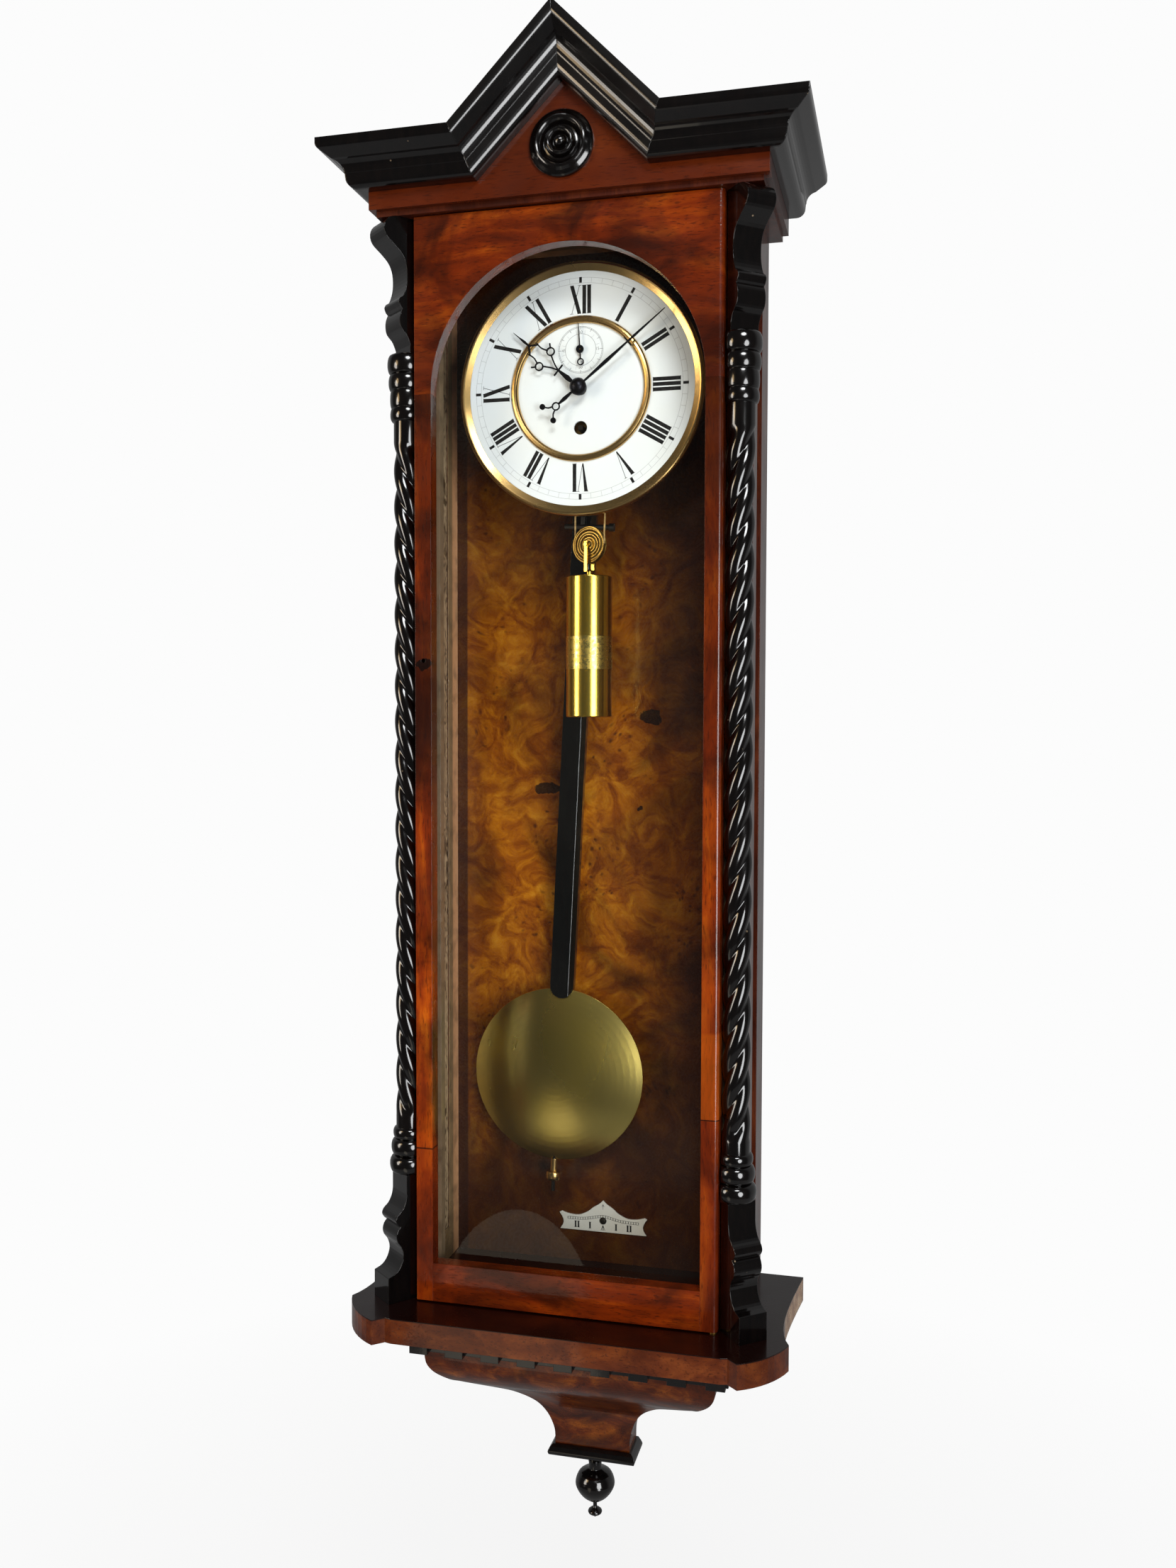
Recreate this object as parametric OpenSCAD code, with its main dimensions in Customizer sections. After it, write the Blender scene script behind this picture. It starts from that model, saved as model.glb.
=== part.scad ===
/* [Levels] */
// Height of the wall hanger's hole above the dial centre
hang_rise = 150; // [145:1:160]
// Height of the door's top edge above the dial centre
door_rise = 118; // [114:1:125]
// Height of the door
door_h = 794.5; // [760:0.5:820]
// Running gap above the door
door_gap_top = 0.7; // [0.6:0.1:1.5]
// Running gap below the door
door_gap_bottom = 1; // [0.6:0.1:1.5]

/* [Case] */
// Clear width between the two sides
case_inner_w = 235; // [230:1:250]
// Thickness of each side
side_t = 12; // [10:0.5:14]
// Depth of the sides, from the wall
side_depth = 68.9; // [66:0.1:72]
// Distance from the wall to the front of the corner posts
case_front = 94.9; // [93:0.1:98]
// Width of the corner post's front face, seen from inside the door opening
post_face_w = 14; // [12:0.5:15]
// Thickness of the backboard
back_t = 11; // [9:0.5:13]
// Distance from the wall to the front edge of the side window
window_front = 62.2; // [60:0.1:64]
// Distance from the wall to the back edge of the side window
window_back = 36.2; // [30:0.1:40]
// Height of the rail above the side window
window_top_rail = 40; // [30:1:60]
// Thickness of every glass
glass_t = 3; // [2:0.5:3.5]
// Width of the glass rebates
rebate_w = 4; // [3:0.5:5]

/* [Columns] */
// Angle of the canted corner to the front of the case
cant = 40; // [38:1:44]
// Distance of the column's axis from the side's outer face
column_inset = 6.1; // [5.8:0.1:6.6]
// Distance of the column's axis in front of the corner posts
column_stand = 7.3; // [7:0.1:8]
// Distance from the column's axis back to the canted face
cant_set = 11; // [10.5:0.1:11.5]
// Largest radius of the twisted shaft
twist_r = 10.1; // [9.6:0.1:10.2]
// Depth of the hollows between its strands
twist_depth = 3; // [2:0.1:4]
// Number of strands in the twist
twist_starts = 3; // [2:1:4]
// Height that one strand takes for a full turn
twist_lead = 79; // [60:1:100]
// Height of the turned rings above the twist
upper_turning_h = 62.8; // [60:0.5:70]
// Height of the turned rings below the twist
lower_turning_h = 42.4; // [40:0.5:50]
// Height of the upper corbels
upper_corbel_h = 95.9; // [90:0.5:100]
// Height of the lower corbels
lower_corbel_h = 94.1; // [90:0.5:100]
// Width of the corbels
corbel_w = 22.6; // [20:0.2:23]

/* [Door] */
// Gap between the door's edge and the case's inner face, each side
door_side_set = 4.6; // [4:0.1:5]
// Width of the door's stiles
stile_w = 12.6; // [12:0.1:14]
// Thickness of the door
door_t = 19.8; // [18:0.1:22]
// Height of the door's wood over the top of the arch
arch_rail_h = 26.2; // [22:0.5:35]
// Height of the bottom rail
bottom_rail_h = 28.7; // [25:0.5:40]
// Distance from the door's front to the glass rebate
glass_set = 11.3; // [10:0.1:13]
// Gap behind the closed door
door_back_gap = 0.6; // [0.5:0.1:1]
// Radius of the pivot pins
pivot_r = 1.5; // [1.2:0.1:1.6]
// Distance of the pivot axis from the door's side and from its front
pivot_set = 3.5; // [3.3:0.1:4]
// Depth of the pivot holes in the door
pivot_depth = 10; // [8:0.5:14]
// Height of the keyhole above the door's bottom edge
keyhole_rise = 475.7; // [400:1:520]

/* [Hood] */
// Thickness of the roof board's lower slab
roof_t = 4.2; // [4:0.1:6]
// Thickness of its upper slab
roof_step_t = 5.8; // [5:0.1:8]
// Overhang of the frieze beyond the case sides
frieze_over = 14.8; // [14:0.1:17]
// Distance from the wall to the frieze's front
frieze_front = 123.5; // [122:0.1:126]
// Thickness of the frieze boards
frieze_t = 12; // [10:0.5:13]
// Height of plain frieze below the cornice
frieze_show = 12.7; // [10:0.1:16]
// Height of the cornice moulding
cornice_h = 30; // [29:0.1:32]
// Projection of the cornice moulding
cornice_p = 28.5; // [28:0.1:30]
// Half the width of the gable at the foot of its raking mouldings
gable_half = 62; // [55:1:70]
// Set of the frieze board's top edge below the mouldings' top
frieze_set = 0.6; // [0.4:0.1:1.5]
// Radius of the turned roundel
roundel_r = 23; // [18:0.5:25]
// Height of the roundel's centre above the foot of the gable
roundel_rise = 19.6; // [17:0.1:22]

/* [Base] */
// Thickness of the plinth
plinth_t = 18.3; // [16:0.1:22]
// Distance from the wall to the plinth's front edge
plinth_front = 149.6; // [148:0.1:152]
// Half the width of the plinth's straight front edge
plinth_flat = 120; // [115:0.5:122]
// Radius of the plinth's rounded horns
horn_r = 62.7; // [55:0.5:80]
// Half width of the dentil strip, over the dentils
dentil_half = 120.5; // [118:0.1:122]
// Distance from the wall to the front of the dentils
dentil_front = 116; // [114:0.1:118]
// Height of the dentil strip
dentil_h = 22.3; // [18:0.1:24]
// Width of a dentil
dentil_w = 14; // [12:0.5:16]
// Spacing of the dentils
dentil_pitch = 28; // [26:0.5:30]
// Projection of the dentils
dentil_proud = 6; // [4:0.5:8]
// Height of the apron
apron_h = 31.5; // [28:0.5:36]
// Set-back of the apron behind the dentils
apron_set = 9.5; // [7:0.5:12]
// Inset of the apron's rounded foot from its top
apron_round = 19.5; // [14:0.5:24]
// Height of the neck below the apron
neck_h = 72.5; // [65:0.5:85]
// Half width of the neck at its foot
neck_half = 30.4; // [26:0.1:32]
// Half width of the block under the neck
block_half = 35.5; // [33:0.5:38]
// Height of the block
block_h = 8; // [7:0.5:12]
// Radius of the finial's ball
finial_r = 15.7; // [13:0.1:17]

/* [Dial] */
// Outer radius of the bezel
bezel_r = 93; // [90:0.5:96]
// Radius of the enamel seen inside the bezel
enamel_r = 85.5; // [83:0.5:87]
// Outer radius of the brass ring round the centre
inner_ring_r = 53.2; // [51:0.1:55]
// Radius of the enamel centre
centre_r = 47.8; // [46:0.1:49]
// Height of the seconds arbor above the dial centre
seconds_rise = 28.5; // [27:0.1:30]
// Thickness of the enamel plates
enamel_t = 2.2; // [1.5:0.1:2.5]
// Thickness of the brass dial plate
dial_plate_t = 1.5; // [1:0.1:2]
// Radius of the winding hole
winding_r = 5; // [4.5:0.1:5.5]
// Radius of the domed boss over the hands
boss_r = 6.3; // [5.5:0.1:7]
// Length of the minute hand
minute_l = 83; // [80:0.5:84]
// Length of the hour hand
hour_l = 66; // [60:0.5:70]
// Turn of the hour hand to the left of twelve
hour_angle = 49.6; // [0:0.1:60]
// Turn of the minute hand to the left of twelve
minute_angle = -51; // [-90:0.5:0]
// Thickness of the hour and minute hands
hand_t = 1.2; // [0.8:0.1:1.4]
// Length of the seconds hand
seconds_l = 18.8; // [16:0.2:19]

/* [Movement] */
// Distance from the wall to the back of the movement
plate_depth = 38; // [37:0.1:39]
// Thickness of the movement plates
plate_t = 2.2; // [2:0.1:3]
// Clear distance between the plates
pillar_l = 20; // [20:0.1:21]
// Half width of the plates
plate_half = 40; // [39:0.5:44]
// Gap between the front plate and the dial plate
dial_gap = 4.8; // [4.8:0.1:5.5]
// Teeth of the great wheel
great_teeth = 96; // [90:1:100]
// Tooth module of the great wheel
great_mod = 0.544; // [0.53:0.002:0.56]
// Teeth of the centre wheel
centre_teeth = 64; // [60:1:66]
// Tooth module of the centre wheel
centre_mod = 0.6; // [0.58:0.01:0.62]
// Teeth of the third wheel
third_teeth = 60; // [56:1:62]
// Tooth module of the third wheel
third_mod = 0.58; // [0.56:0.01:0.6]
// Leaves of each train pinion
leaves = 8; // [8:1:9]
// Teeth of the escape wheel
escape_teeth = 40; // [30:1:44]
// Tip radius of the escape wheel
escape_r = 17.2; // [16:0.1:17.4]
// Teeth of the cannon pinion
cannon_teeth = 10; // [10:1:12]
// Teeth of the motion wheel
motion_teeth = 30; // [28:1:32]
// Teeth of the hour wheel
hour_teeth = 32; // [30:1:34]
// Tooth module of the motion work
motion_mod = 0.55; // [0.52:0.01:0.56]
// Radius of the drum that the line winds on
drum_r = 16.3; // [15:0.1:17]
// Radial clearance of a running pivot
pivot_clear = 0.04; // [0.02:0.01:0.08]

/* [Pendulum and weight] */
// Height of the pendulum's pivot above the dial centre
pendulum_rise = 52; // [50:0.5:56]
// Distance from the wall to the middle of the pendulum
pendulum_depth = 28.5; // [27.5:0.1:29]
// Lean of the resting pendulum from plumb
lean = 2.75; // [0:0.05:3]
// Width of the pendulum rod
rod_w = 18; // [14:0.5:20]
// Thickness of the pendulum rod
rod_t = 9; // [7:0.5:9]
// Height of the middle of the bob above the foot of the door
bob_lift = 153.5; // [138.5:1:168.5]
// Radius of the bob
bob_r = 68; // [60:0.5:72]
// Half the thickness of the bob
bob_half_t = 11; // [8:0.5:12]
// Distance of the weight from the wall
weight_depth = 60; // [59.5:0.1:61]
// Place of the weight to the right of the dial centre
weight_x = 4.5; // [3:0.1:6]
// Radius of the weight
weight_r = 17.2; // [15:0.1:18]
// Length of the weight
weight_l = 104.8; // [90:0.5:115]
// Distance of the pulley's centre below the dial centre
pulley_drop = 113; // [112:0.5:120]
// Radius of the pulley
pulley_r = 13.8; // [12:0.1:14.5]
// Turn of the pulley about the vertical
pulley_turn = 20; // [15:1:25]
// Radius of the gut line
line_r = 0.7; // [0.5:0.1:0.9]
// Width of the beat scale
scale_w = 72; // [66:1:80]
// Height of the beat scale's foot above the foot of the door
scale_rise = 24; // [16:0.5:30]
// Place of the beat scale to the right of the dial centre
scale_x = 5; // [-5:0.5:8]

/* [Hidden] */
$fn = 64;
over = 1;

ebony = "#14110f";
walnut = "#6b2f16";
burl = "#8a5a24";
brass = "#b8923c";
steel = "#4a4d52";
enamel = "#f1efe6";
blued = "#101012";
glass = "#a8c4c8";
gut = "#d9c48a";

// Levels, measured from the hanger's hole
dial_z = -hang_rise;
door_top = dial_z + door_rise;
door_bottom = door_top - door_h;
roof_z = door_top + door_gap_top;
plinth_z = door_bottom - door_gap_bottom;
frieze_z = roof_z + roof_t;
cornice_z = frieze_z + frieze_show;
cornice_top = cornice_z + cornice_h;
frieze_top = cornice_top - frieze_set;
gable_z = cornice_z + gable_half;
dentil_z = plinth_z - plinth_t;
apron_z = dentil_z - dentil_h;
neck_z = apron_z - apron_h;
block_z = neck_z - neck_h;
finial_z = block_z - block_h;
base_lag = dentil_half - dentil_front;

// Plan of the case
case_half = case_inner_w / 2;
case_outer = case_half + side_t;
axis_x = case_outer - column_inset;
axis_y = case_front + column_stand;
out_x = sin(cant);
out_y = cos(cant);
cant_x = axis_x + (column_stand * out_y - cant_set) / out_x;
cant_y = axis_y - (cant_set + column_inset * out_x) / out_y;
post_in = case_outer - side_t - post_face_w - 2.5;
post_t = 8;
frieze_half = case_outer + frieze_over;

// Door
door_half = case_half - door_side_set;
sight_half = door_half - stile_w;
door_back = case_front + door_back_gap;
door_front = door_back + door_t;
sight_bottom = door_bottom + bottom_rail_h;
arch_z = door_top - arch_rail_h - sight_half;
pane_front = door_front - glass_set;
pivot_x = door_half - pivot_set;
pivot_y = door_front - pivot_set;
door_clear_x = door_half + 1.3;
keyhole_z = door_bottom + keyhole_rise;

// Columns
twist_top = roof_z - upper_corbel_h - upper_turning_h;
twist_bottom = plinth_z + lower_corbel_h + lower_turning_h;
twist_l = twist_top - twist_bottom;

// Side windows
window_z0 = sight_bottom;
window_z1 = roof_z - window_top_rail;

// Movement: depths from the wall and places from the dial centre
back_face = plate_depth + plate_t;
front_in = back_face + pillar_l;
front_face = front_in + plate_t;
dial_back = front_face + dial_gap;
dial_face = dial_back + dial_plate_t;
enamel_face = dial_face + enamel_t;
hour_hand_depth = enamel_face + 3.4;
minute_hand_depth = hour_hand_depth + 3;
seconds_depth = enamel_face + 1.2;
barrel_drop = (great_teeth + leaves) * great_mod / 2;
centre_reach = (centre_teeth + leaves) * centre_mod / 2;
third_reach = (third_teeth + leaves) * third_mod / 2;
third_z = (pow(centre_reach, 2) - pow(third_reach, 2) + pow(seconds_rise, 2))
    / (2 * seconds_rise);
third_x = sqrt(pow(centre_reach, 2) - pow(third_z, 2));
third_angle = atan2(third_z, third_x);
escape_angle = atan2(seconds_rise - third_z, -third_x);
motion_reach = (cannon_teeth + motion_teeth) * motion_mod / 2;
motion_x = -motion_reach * cos(45);
motion_z = -motion_reach * sin(45);
pivot_pin = 0.6;
arbor_r = 1;
centre_arbor = 1.5;
barrel_arbor = 2.5;
cannon_r = 2.4;
hour_pipe_r = 3.3;
pillar_r = 3.5;
stud_r = 2.5;
plate_low = -58;
plate_high = 62;
pillar_low = -50;
pillar_high = 54;
pillar_x = plate_half - 6;
arm_t = 8;

// Pendulum, weight and line
pivot_z = dial_z + pendulum_rise;
bob_drop = pivot_z - door_bottom - bob_lift;
rod_end = bob_drop - bob_r + 7;
bob_foot = bob_drop + bob_r;
pulley_z = dial_z - pulley_drop;
weight_top = pulley_z - pulley_r - 9.9;
groove_r = pulley_r - 1.9;
line_x = groove_r + 0.3 + line_r;
line_top = dial_z - 52;
pin_r = 1.2;
drum_point = [drum_r + line_r + 0.3, -54, dial_z - barrel_drop];
pulley_point = [weight_x + line_x * cos(pulley_turn), -weight_depth - line_x * sin(pulley_turn),
    pulley_z];
lead_end = drum_point + (pulley_point - drum_point) * (drum_point[2] - line_top)
    / (drum_point[2] - pulley_z);
cheek_gap = 4.2;

function arc(cx, cy, r, a0, a1, n = 8) =
    [for (i = [0:n]) let (a = a0 + (a1 - a0) * i / n) [cx + r * cos(a), cy + r * sin(a)]];

// Smooth curve through its points, with n steps between neighbours
function curve(p, n = 4) =
    let (m = len(p) - 1)
    [for (i = [0:m - 1]) let (a = p[max(i - 1, 0)], b = p[i], c = p[i + 1], d = p[min(i + 2, m)])
        for (j = [0:(i == m - 1 ? n : n - 1)]) let (t = j / n)
            0.5 * (2 * b + (c - a) * t + (2 * a - 5 * b + 4 * c - d) * t * t
            + (3 * b - a - 3 * c + d) * t * t * t)];

// Half-round bead of a turning, from radius ra at za down to rb at zb, swelling to r
function bead(za, ra, zb, rb, r, n = 6) =
    [for (i = [0:n]) let (a = 180 * i / n, t = (1 - cos(a)) / 2, base = ra + (rb - ra) * t)
        [base + (r - base) * sin(a), za + (zb - za) * t]];

// Point on the circle of radius r that passes through p and q, bulging to the right of p-q
function bulge(p, q, r, n = 8) =
    let (d = q - p, l = norm(d), h = sqrt(r * r - l * l / 4),
        c = (p + q) / 2 + [-d[1], d[0]] / l * h,
        a0 = atan2(p[1] - c[1], p[0] - c[0]), a1 = atan2(q[1] - c[1], q[0] - c[0]))
    arc(c[0], c[1], r, a0, a1, n);

function bezier(a, b, c, d, n = 10) =
    [for (i = [0:n]) let (t = i / n, s = 1 - t)
        s * s * s * a + 3 * s * s * t * b + 3 * s * t * t * c + t * t * t * d];

// Outline of a gear with its first tooth centred on the given angle
function gear(teeth, mod, add, ded, wide, first) =
    let (r = teeth * mod / 2, p = 360 / teeth)
    [for (i = [0:teeth - 1]) let (a = first + i * p)
        for (k = [[-0.56 * wide, r - ded * mod], [-0.5 * wide, r], [-0.2 * wide, r + add * mod],
            [0.2 * wide, r + add * mod], [0.5 * wide, r], [0.56 * wide, r - ded * mod]])
            k[1] * [cos(a + k[0] * p), sin(a + k[0] * p)]];

module box(x0, x1, y0, y1, z0, z1) {
    translate([x0, y0, z0]) cube([x1 - x0, y1 - y0, z1 - z0]);
}

// Sheet cut to a front outline, its face the given distance from the wall
module sheet(depth, t) {
    translate([0, t - depth, 0]) rotate([90, 0, 0]) linear_extrude(t) children();
}

// Round bar square to the wall, between two depths
module bar(x, z, r, back, front) {
    translate([x, -back, z]) rotate([90, 0, 0]) cylinder(r = r, h = front - back);
}

// Right-hand piece as drawn, or its mirror image
module hand(right) {
    if (right) children();
    else mirror([1, 0, 0]) children();
}

module at_dial() {
    translate([0, 0, dial_z]) children();
}

// Frame of a corner ornament: x out from the canted face, z up
module at_column() {
    translate([axis_x, -axis_y, 0]) rotate([0, 0, cant - 90]) children();
}

module backboard() {
    color(burl) difference() {
        box(-case_half, case_half, -back_t, 0, plinth_z, frieze_top);
        box(-20, 20, -2, over, -14, 12);
        bar(0, 0, 8, -over, 9);
    }
}

module wall_hanger() {
    color(brass) difference() {
        box(-20, 20, -2, 0, -14, 12);
        bar(0, 0, 4.5, -over, 2 + over);
    }
}

module side_panel() {
    color(walnut) difference() {
        box(case_half, case_outer, -side_depth, 0, plinth_z, roof_z);
        box(case_half - over, case_outer + over, -window_front, -window_back,
            window_z0, window_z1);
        box(case_half - over, case_half + rebate_w, -window_front - rebate_w,
            -window_back + rebate_w, window_z0 - rebate_w, window_z1 + rebate_w);
    }
}

module side_left() hand(false) side_panel();
module side_right() hand(true) side_panel();

module side_glass() {
    for (right = [true, false])
        hand(right) color(glass)
            box(case_half + rebate_w - glass_t, case_half + rebate_w,
                -window_front - rebate_w + 0.3, -window_back + rebate_w - 0.3,
                window_z0 - rebate_w, window_z1 + rebate_w - 0.3);
}

module corner_post() {
    color(walnut) translate([0, 0, plinth_z]) linear_extrude(roof_z - plinth_z)
        polygon([[post_in, -case_front], [cant_x, -case_front], [case_outer, -cant_y],
            [case_outer, -side_depth], [case_half, -side_depth],
            [post_in, -case_front + post_t]]);
}

module corner_post_left() hand(false) corner_post();
module corner_post_right() hand(true) corner_post();

module roof_board() {
    roof_half = frieze_half - 4.3;
    step_half = frieze_half - frieze_t;
    step_front = frieze_front - frieze_t;
    color(walnut) difference() {
        union() {
            box(-roof_half, roof_half, -frieze_front + 4, 0, roof_z, frieze_z);
            box(-step_half, step_half, -step_front, 0, frieze_z, frieze_z + roof_step_t);
        }
        box(-case_half, case_half, -back_t, over, roof_z - over, frieze_top);
        translate([pivot_x, -pivot_y, roof_z - over]) cylinder(r = pivot_r, h = roof_t + over);
    }
}

module plinth() {
    arris = [plinth_flat + 12.5, -plinth_front - 5.6];
    horn = [plinth_flat + 43.7, -plinth_front + 31];
    half = concat([[plinth_flat, -plinth_front], [plinth_flat + 4.9, -plinth_front + 1.2]],
        bulge(arris, horn, horn_r),
        bezier(horn, horn + [-10.7, 20.6], horn + [-7.7, 58.6], [horn[0] - 0.7, 0]));
    color(walnut) difference() {
        translate([0, 0, dentil_z]) linear_extrude(plinth_t)
            polygon(concat(half, [for (i = [len(half) - 1:-1:0]) [-half[i][0], half[i][1]]]));
        translate([pivot_x, -pivot_y, plinth_z - pivot_depth])
            cylinder(r = pivot_r, h = pivot_depth + over);
    }
}

module dentil_strip() {
    body_half = dentil_half - dentil_proud;
    body_front = dentil_front - dentil_proud;
    across = floor((dentil_half - dentil_w / 2) / dentil_pitch);
    along = floor((body_front - dentil_w) / dentil_pitch);
    color(ebony) union() {
        box(-body_half, body_half, -body_front, 0, apron_z, dentil_z);
        for (i = [-across:across])
            box(i * dentil_pitch - dentil_w / 2, i * dentil_pitch + dentil_w / 2,
                -dentil_front, -body_front + over, apron_z, dentil_z);
        for (i = [0:along], right = [true, false])
            hand(right)
                box(body_half - over, dentil_half, -body_front + i * dentil_pitch,
                    -body_front + i * dentil_pitch + dentil_w, apron_z, dentil_z);
    }
}

// Inset against height of the apron's rounded foot, for its front and for its ends
function apron_foot(inset, drop) = curve([[0, 0], [inset * 0.05, -drop * 0.33],
    [inset * 0.21, -drop * 0.555], [inset * 0.44, -drop * 0.733], [inset * 0.79, -drop * 0.927],
    [inset, -drop]], 3);

module base_apron() {
    half = dentil_half - apron_set;
    front = dentil_front - apron_set;
    foot = apron_foot(apron_round, apron_h);
    ends = [for (p = foot) [half - p[0], apron_z + p[1]]];
    face = [for (p = foot) [-front + p[0], apron_z + p[1]]];
    color(walnut) intersection() {
        translate([0, over, 0]) rotate([90, 0, 0]) linear_extrude(front + 2 * over)
            polygon(concat(ends, [for (i = [len(ends) - 1:-1:0]) [-ends[i][0], ends[i][1]]]));
        rotate([90, 0, 90]) translate([0, 0, -half - over]) linear_extrude(2 * (half + over))
            polygon(concat(face, [[0, neck_z], [0, apron_z]]));
    }
}

// Cove of the neck: distance out from its foot against height above the foot
function cove(flare, rise) = curve([[0, 0], [flare * 0.003, rise * 0.127],
    [flare * 0.026, rise * 0.228], [flare * 0.08, rise * 0.36], [flare * 0.165, rise * 0.49],
    [flare * 0.273, rise * 0.596], [flare * 0.435, rise * 0.713], [flare * 0.596, rise * 0.799],
    [flare * 0.858, rise * 0.928], [flare, rise]], 3);

module base_neck() {
    flare = dentil_half - apron_set - apron_round - neck_half;
    depth = neck_half - base_lag;
    side = [for (p = cove(flare, neck_h)) [neck_half + p[0], block_z + p[1]]];
    face = [for (p = cove(flare, neck_h)) [-depth - p[0], block_z + p[1]]];
    color(walnut) intersection() {
        translate([0, over, 0]) rotate([90, 0, 0]) linear_extrude(depth + flare + 2 * over)
            polygon(concat(side, [for (i = [len(side) - 1:-1:0]) [-side[i][0], side[i][1]]]));
        rotate([90, 0, 90]) translate([0, 0, -neck_half - flare - over])
            linear_extrude(2 * (neck_half + flare + over))
                polygon(concat(face, [[0, neck_z], [0, block_z]]));
    }
}

module drop_block() {
    depth = block_half - base_lag;
    lip = curve([[-0.8, 0], [0, block_h * 0.3], [-0.9, block_h * 0.6], [-3.4, block_h]], 3);
    side = [for (p = lip) [block_half + p[0], finial_z + p[1]]];
    face = [for (p = lip) [-depth - p[0], finial_z + p[1]]];
    color(ebony) intersection() {
        translate([0, over, 0]) rotate([90, 0, 0]) linear_extrude(depth + 2 + over)
            polygon(concat(side, [for (i = [len(side) - 1:-1:0]) [-side[i][0], side[i][1]]]));
        rotate([90, 0, 90]) translate([0, 0, -block_half - over])
            linear_extrude(2 * (block_half + over))
                polygon(concat(face, [[0, block_z], [0, finial_z]]));
    }
}

module drop_finial() {
    k = finial_r;
    outline = concat([[0, 0], [k * 0.7, 0]],
        curve([[k * 0.62, -k * 0.05], [k * 0.42, -k * 0.3], [k * 0.33, -k * 0.6],
            [k * 0.34, -k * 0.88]], 3),
        curve([[k * 0.45, -k * 0.93], [k * 0.82, -k * 1.12], [k, -k * 1.56], [k * 0.93, -k * 1.9],
            [k * 0.66, -k * 2.28], [k * 0.24, -k * 2.6], [k * 0.1, -k * 2.68]], 4),
        [[k * 0.1, -k * 2.88]],
        curve([[k * 0.13, -k * 2.94], [k * 0.34, -k * 3.1], [k * 0.33, -k * 3.24],
            [k * 0.16, -k * 3.34], [k * 0.05, -k * 3.43]], 3),
        [[0, -k * 3.49]]);
    color(ebony) translate([0, -(block_half - base_lag) / 2, finial_z])
        rotate_extrude() polygon(outline);
}

module frieze() {
    peak = gable_z + (cornice_h - frieze_set) * sqrt(2);
    shoulder = peak - frieze_top;
    color(walnut) sheet(frieze_front, frieze_t)
        polygon([[-frieze_half, frieze_z], [frieze_half, frieze_z], [frieze_half, frieze_top],
            [shoulder, frieze_top], [0, peak], [-shoulder, frieze_top],
            [-frieze_half, frieze_top]]);
}

module frieze_sides() {
    for (right = [true, false])
        hand(right) color(walnut)
            box(frieze_half - frieze_t, frieze_half, -frieze_front + frieze_t, 0,
                frieze_z, frieze_top);
}

// Section of the cornice: projection from the wall of the hood against height
function cornice_section() =
    let (q = 6.5, cx = cornice_p - 7, cr = 8.4, er = 4)
    concat([[0, 0]], arc(q - 0.5, q, q, -90, 0, 6), [[q + 6.3, q + 3]],
        arc(cx, q + 3.3, cr, 180, 100, 6),
        arc(cornice_p - er, cornice_h - er, er, -57, 0, 4), [[cornice_p, cornice_h], [0, cornice_h]]);

// Moulding along +X, its back on y = 0 and its foot on z = 0
module moulding(from, to) {
    translate([from, 0, 0]) rotate([90, 0, 90]) mirror([1, 0]) linear_extrude(to - from)
        polygon(cornice_section());
}

module prism_front(points) {
    rotate([90, 0, 0]) linear_extrude(2 * frieze_front + 4 * cornice_p, center = true)
        polygon(points);
}

module prism_plan(points) {
    translate([0, 0, cornice_z - over]) linear_extrude(cornice_h + 2 * over) polygon(points);
}

module cornice_front() {
    mitre = tan(22.5);
    reach = frieze_half + cornice_p + over;
    color(ebony) intersection() {
        translate([0, -frieze_front, cornice_z]) moulding(gable_half - over, reach);
        prism_front([[gable_half - over * mitre, cornice_z - over], [reach, cornice_z - over],
            [reach, cornice_top + over],
            [gable_half + (cornice_h + over) * mitre, cornice_top + over]]);
        prism_plan([[0, -frieze_front + over], [frieze_half - over, -frieze_front + over],
            [frieze_half + cornice_p + over, -frieze_front - cornice_p - over],
            [0, -frieze_front - cornice_p - over]]);
    }
}

module cornice_left() hand(false) cornice_front();
module cornice_right() hand(true) cornice_front();

module gable_rake() {
    mitre = tan(22.5);
    reach = gable_half * sqrt(2);
    color(ebony) intersection() {
        translate([0, -frieze_front, gable_z]) rotate([0, 45, 0])
            moulding(-cornice_h - over, reach + cornice_h);
        prism_front([[0, cornice_z - 20], [gable_half - 20 * mitre, cornice_z - 20],
            [gable_half + (cornice_h + 5) * mitre, cornice_top + 5],
            [0, gable_z + 3 * cornice_h]]);
    }
}

module gable_rake_left() hand(false) gable_rake();
module gable_rake_right() hand(true) gable_rake();

module cornice_returns() {
    reach = frieze_front + cornice_p;
    for (right = [true, false])
        hand(right) color(ebony) intersection() {
            translate([frieze_half, 0, cornice_z]) rotate([0, 0, 90])
                moulding(-reach - over, 0);
            prism_plan([[frieze_half - over, over], [frieze_half + cornice_p + over, over],
                [frieze_half + cornice_p + over, -frieze_front - cornice_p - over],
                [frieze_half - over, -frieze_front + over]]);
        }
}

module gable_roundel() {
    k = roundel_r;
    outline = concat([[0, 0], [k, 0], [k, 2.4]],
        curve([[k * 0.96, 3.4], [k * 0.86, 5], [k * 0.74, 7], [k * 0.63, 5.4], [k * 0.53, 2.6]], 3),
        curve([[k * 0.47, 3], [k * 0.43, 6.2], [k * 0.36, 7.6], [k * 0.28, 6], [k * 0.22, 3.6]], 3),
        curve([[k * 0.17, 5.6], [k * 0.12, 7.8], [0, 8.8]], 3));
    color(ebony) translate([0, -frieze_front, cornice_z + roundel_rise]) rotate([90, 0, 0])
        rotate_extrude() polygon(outline);
}

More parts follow.
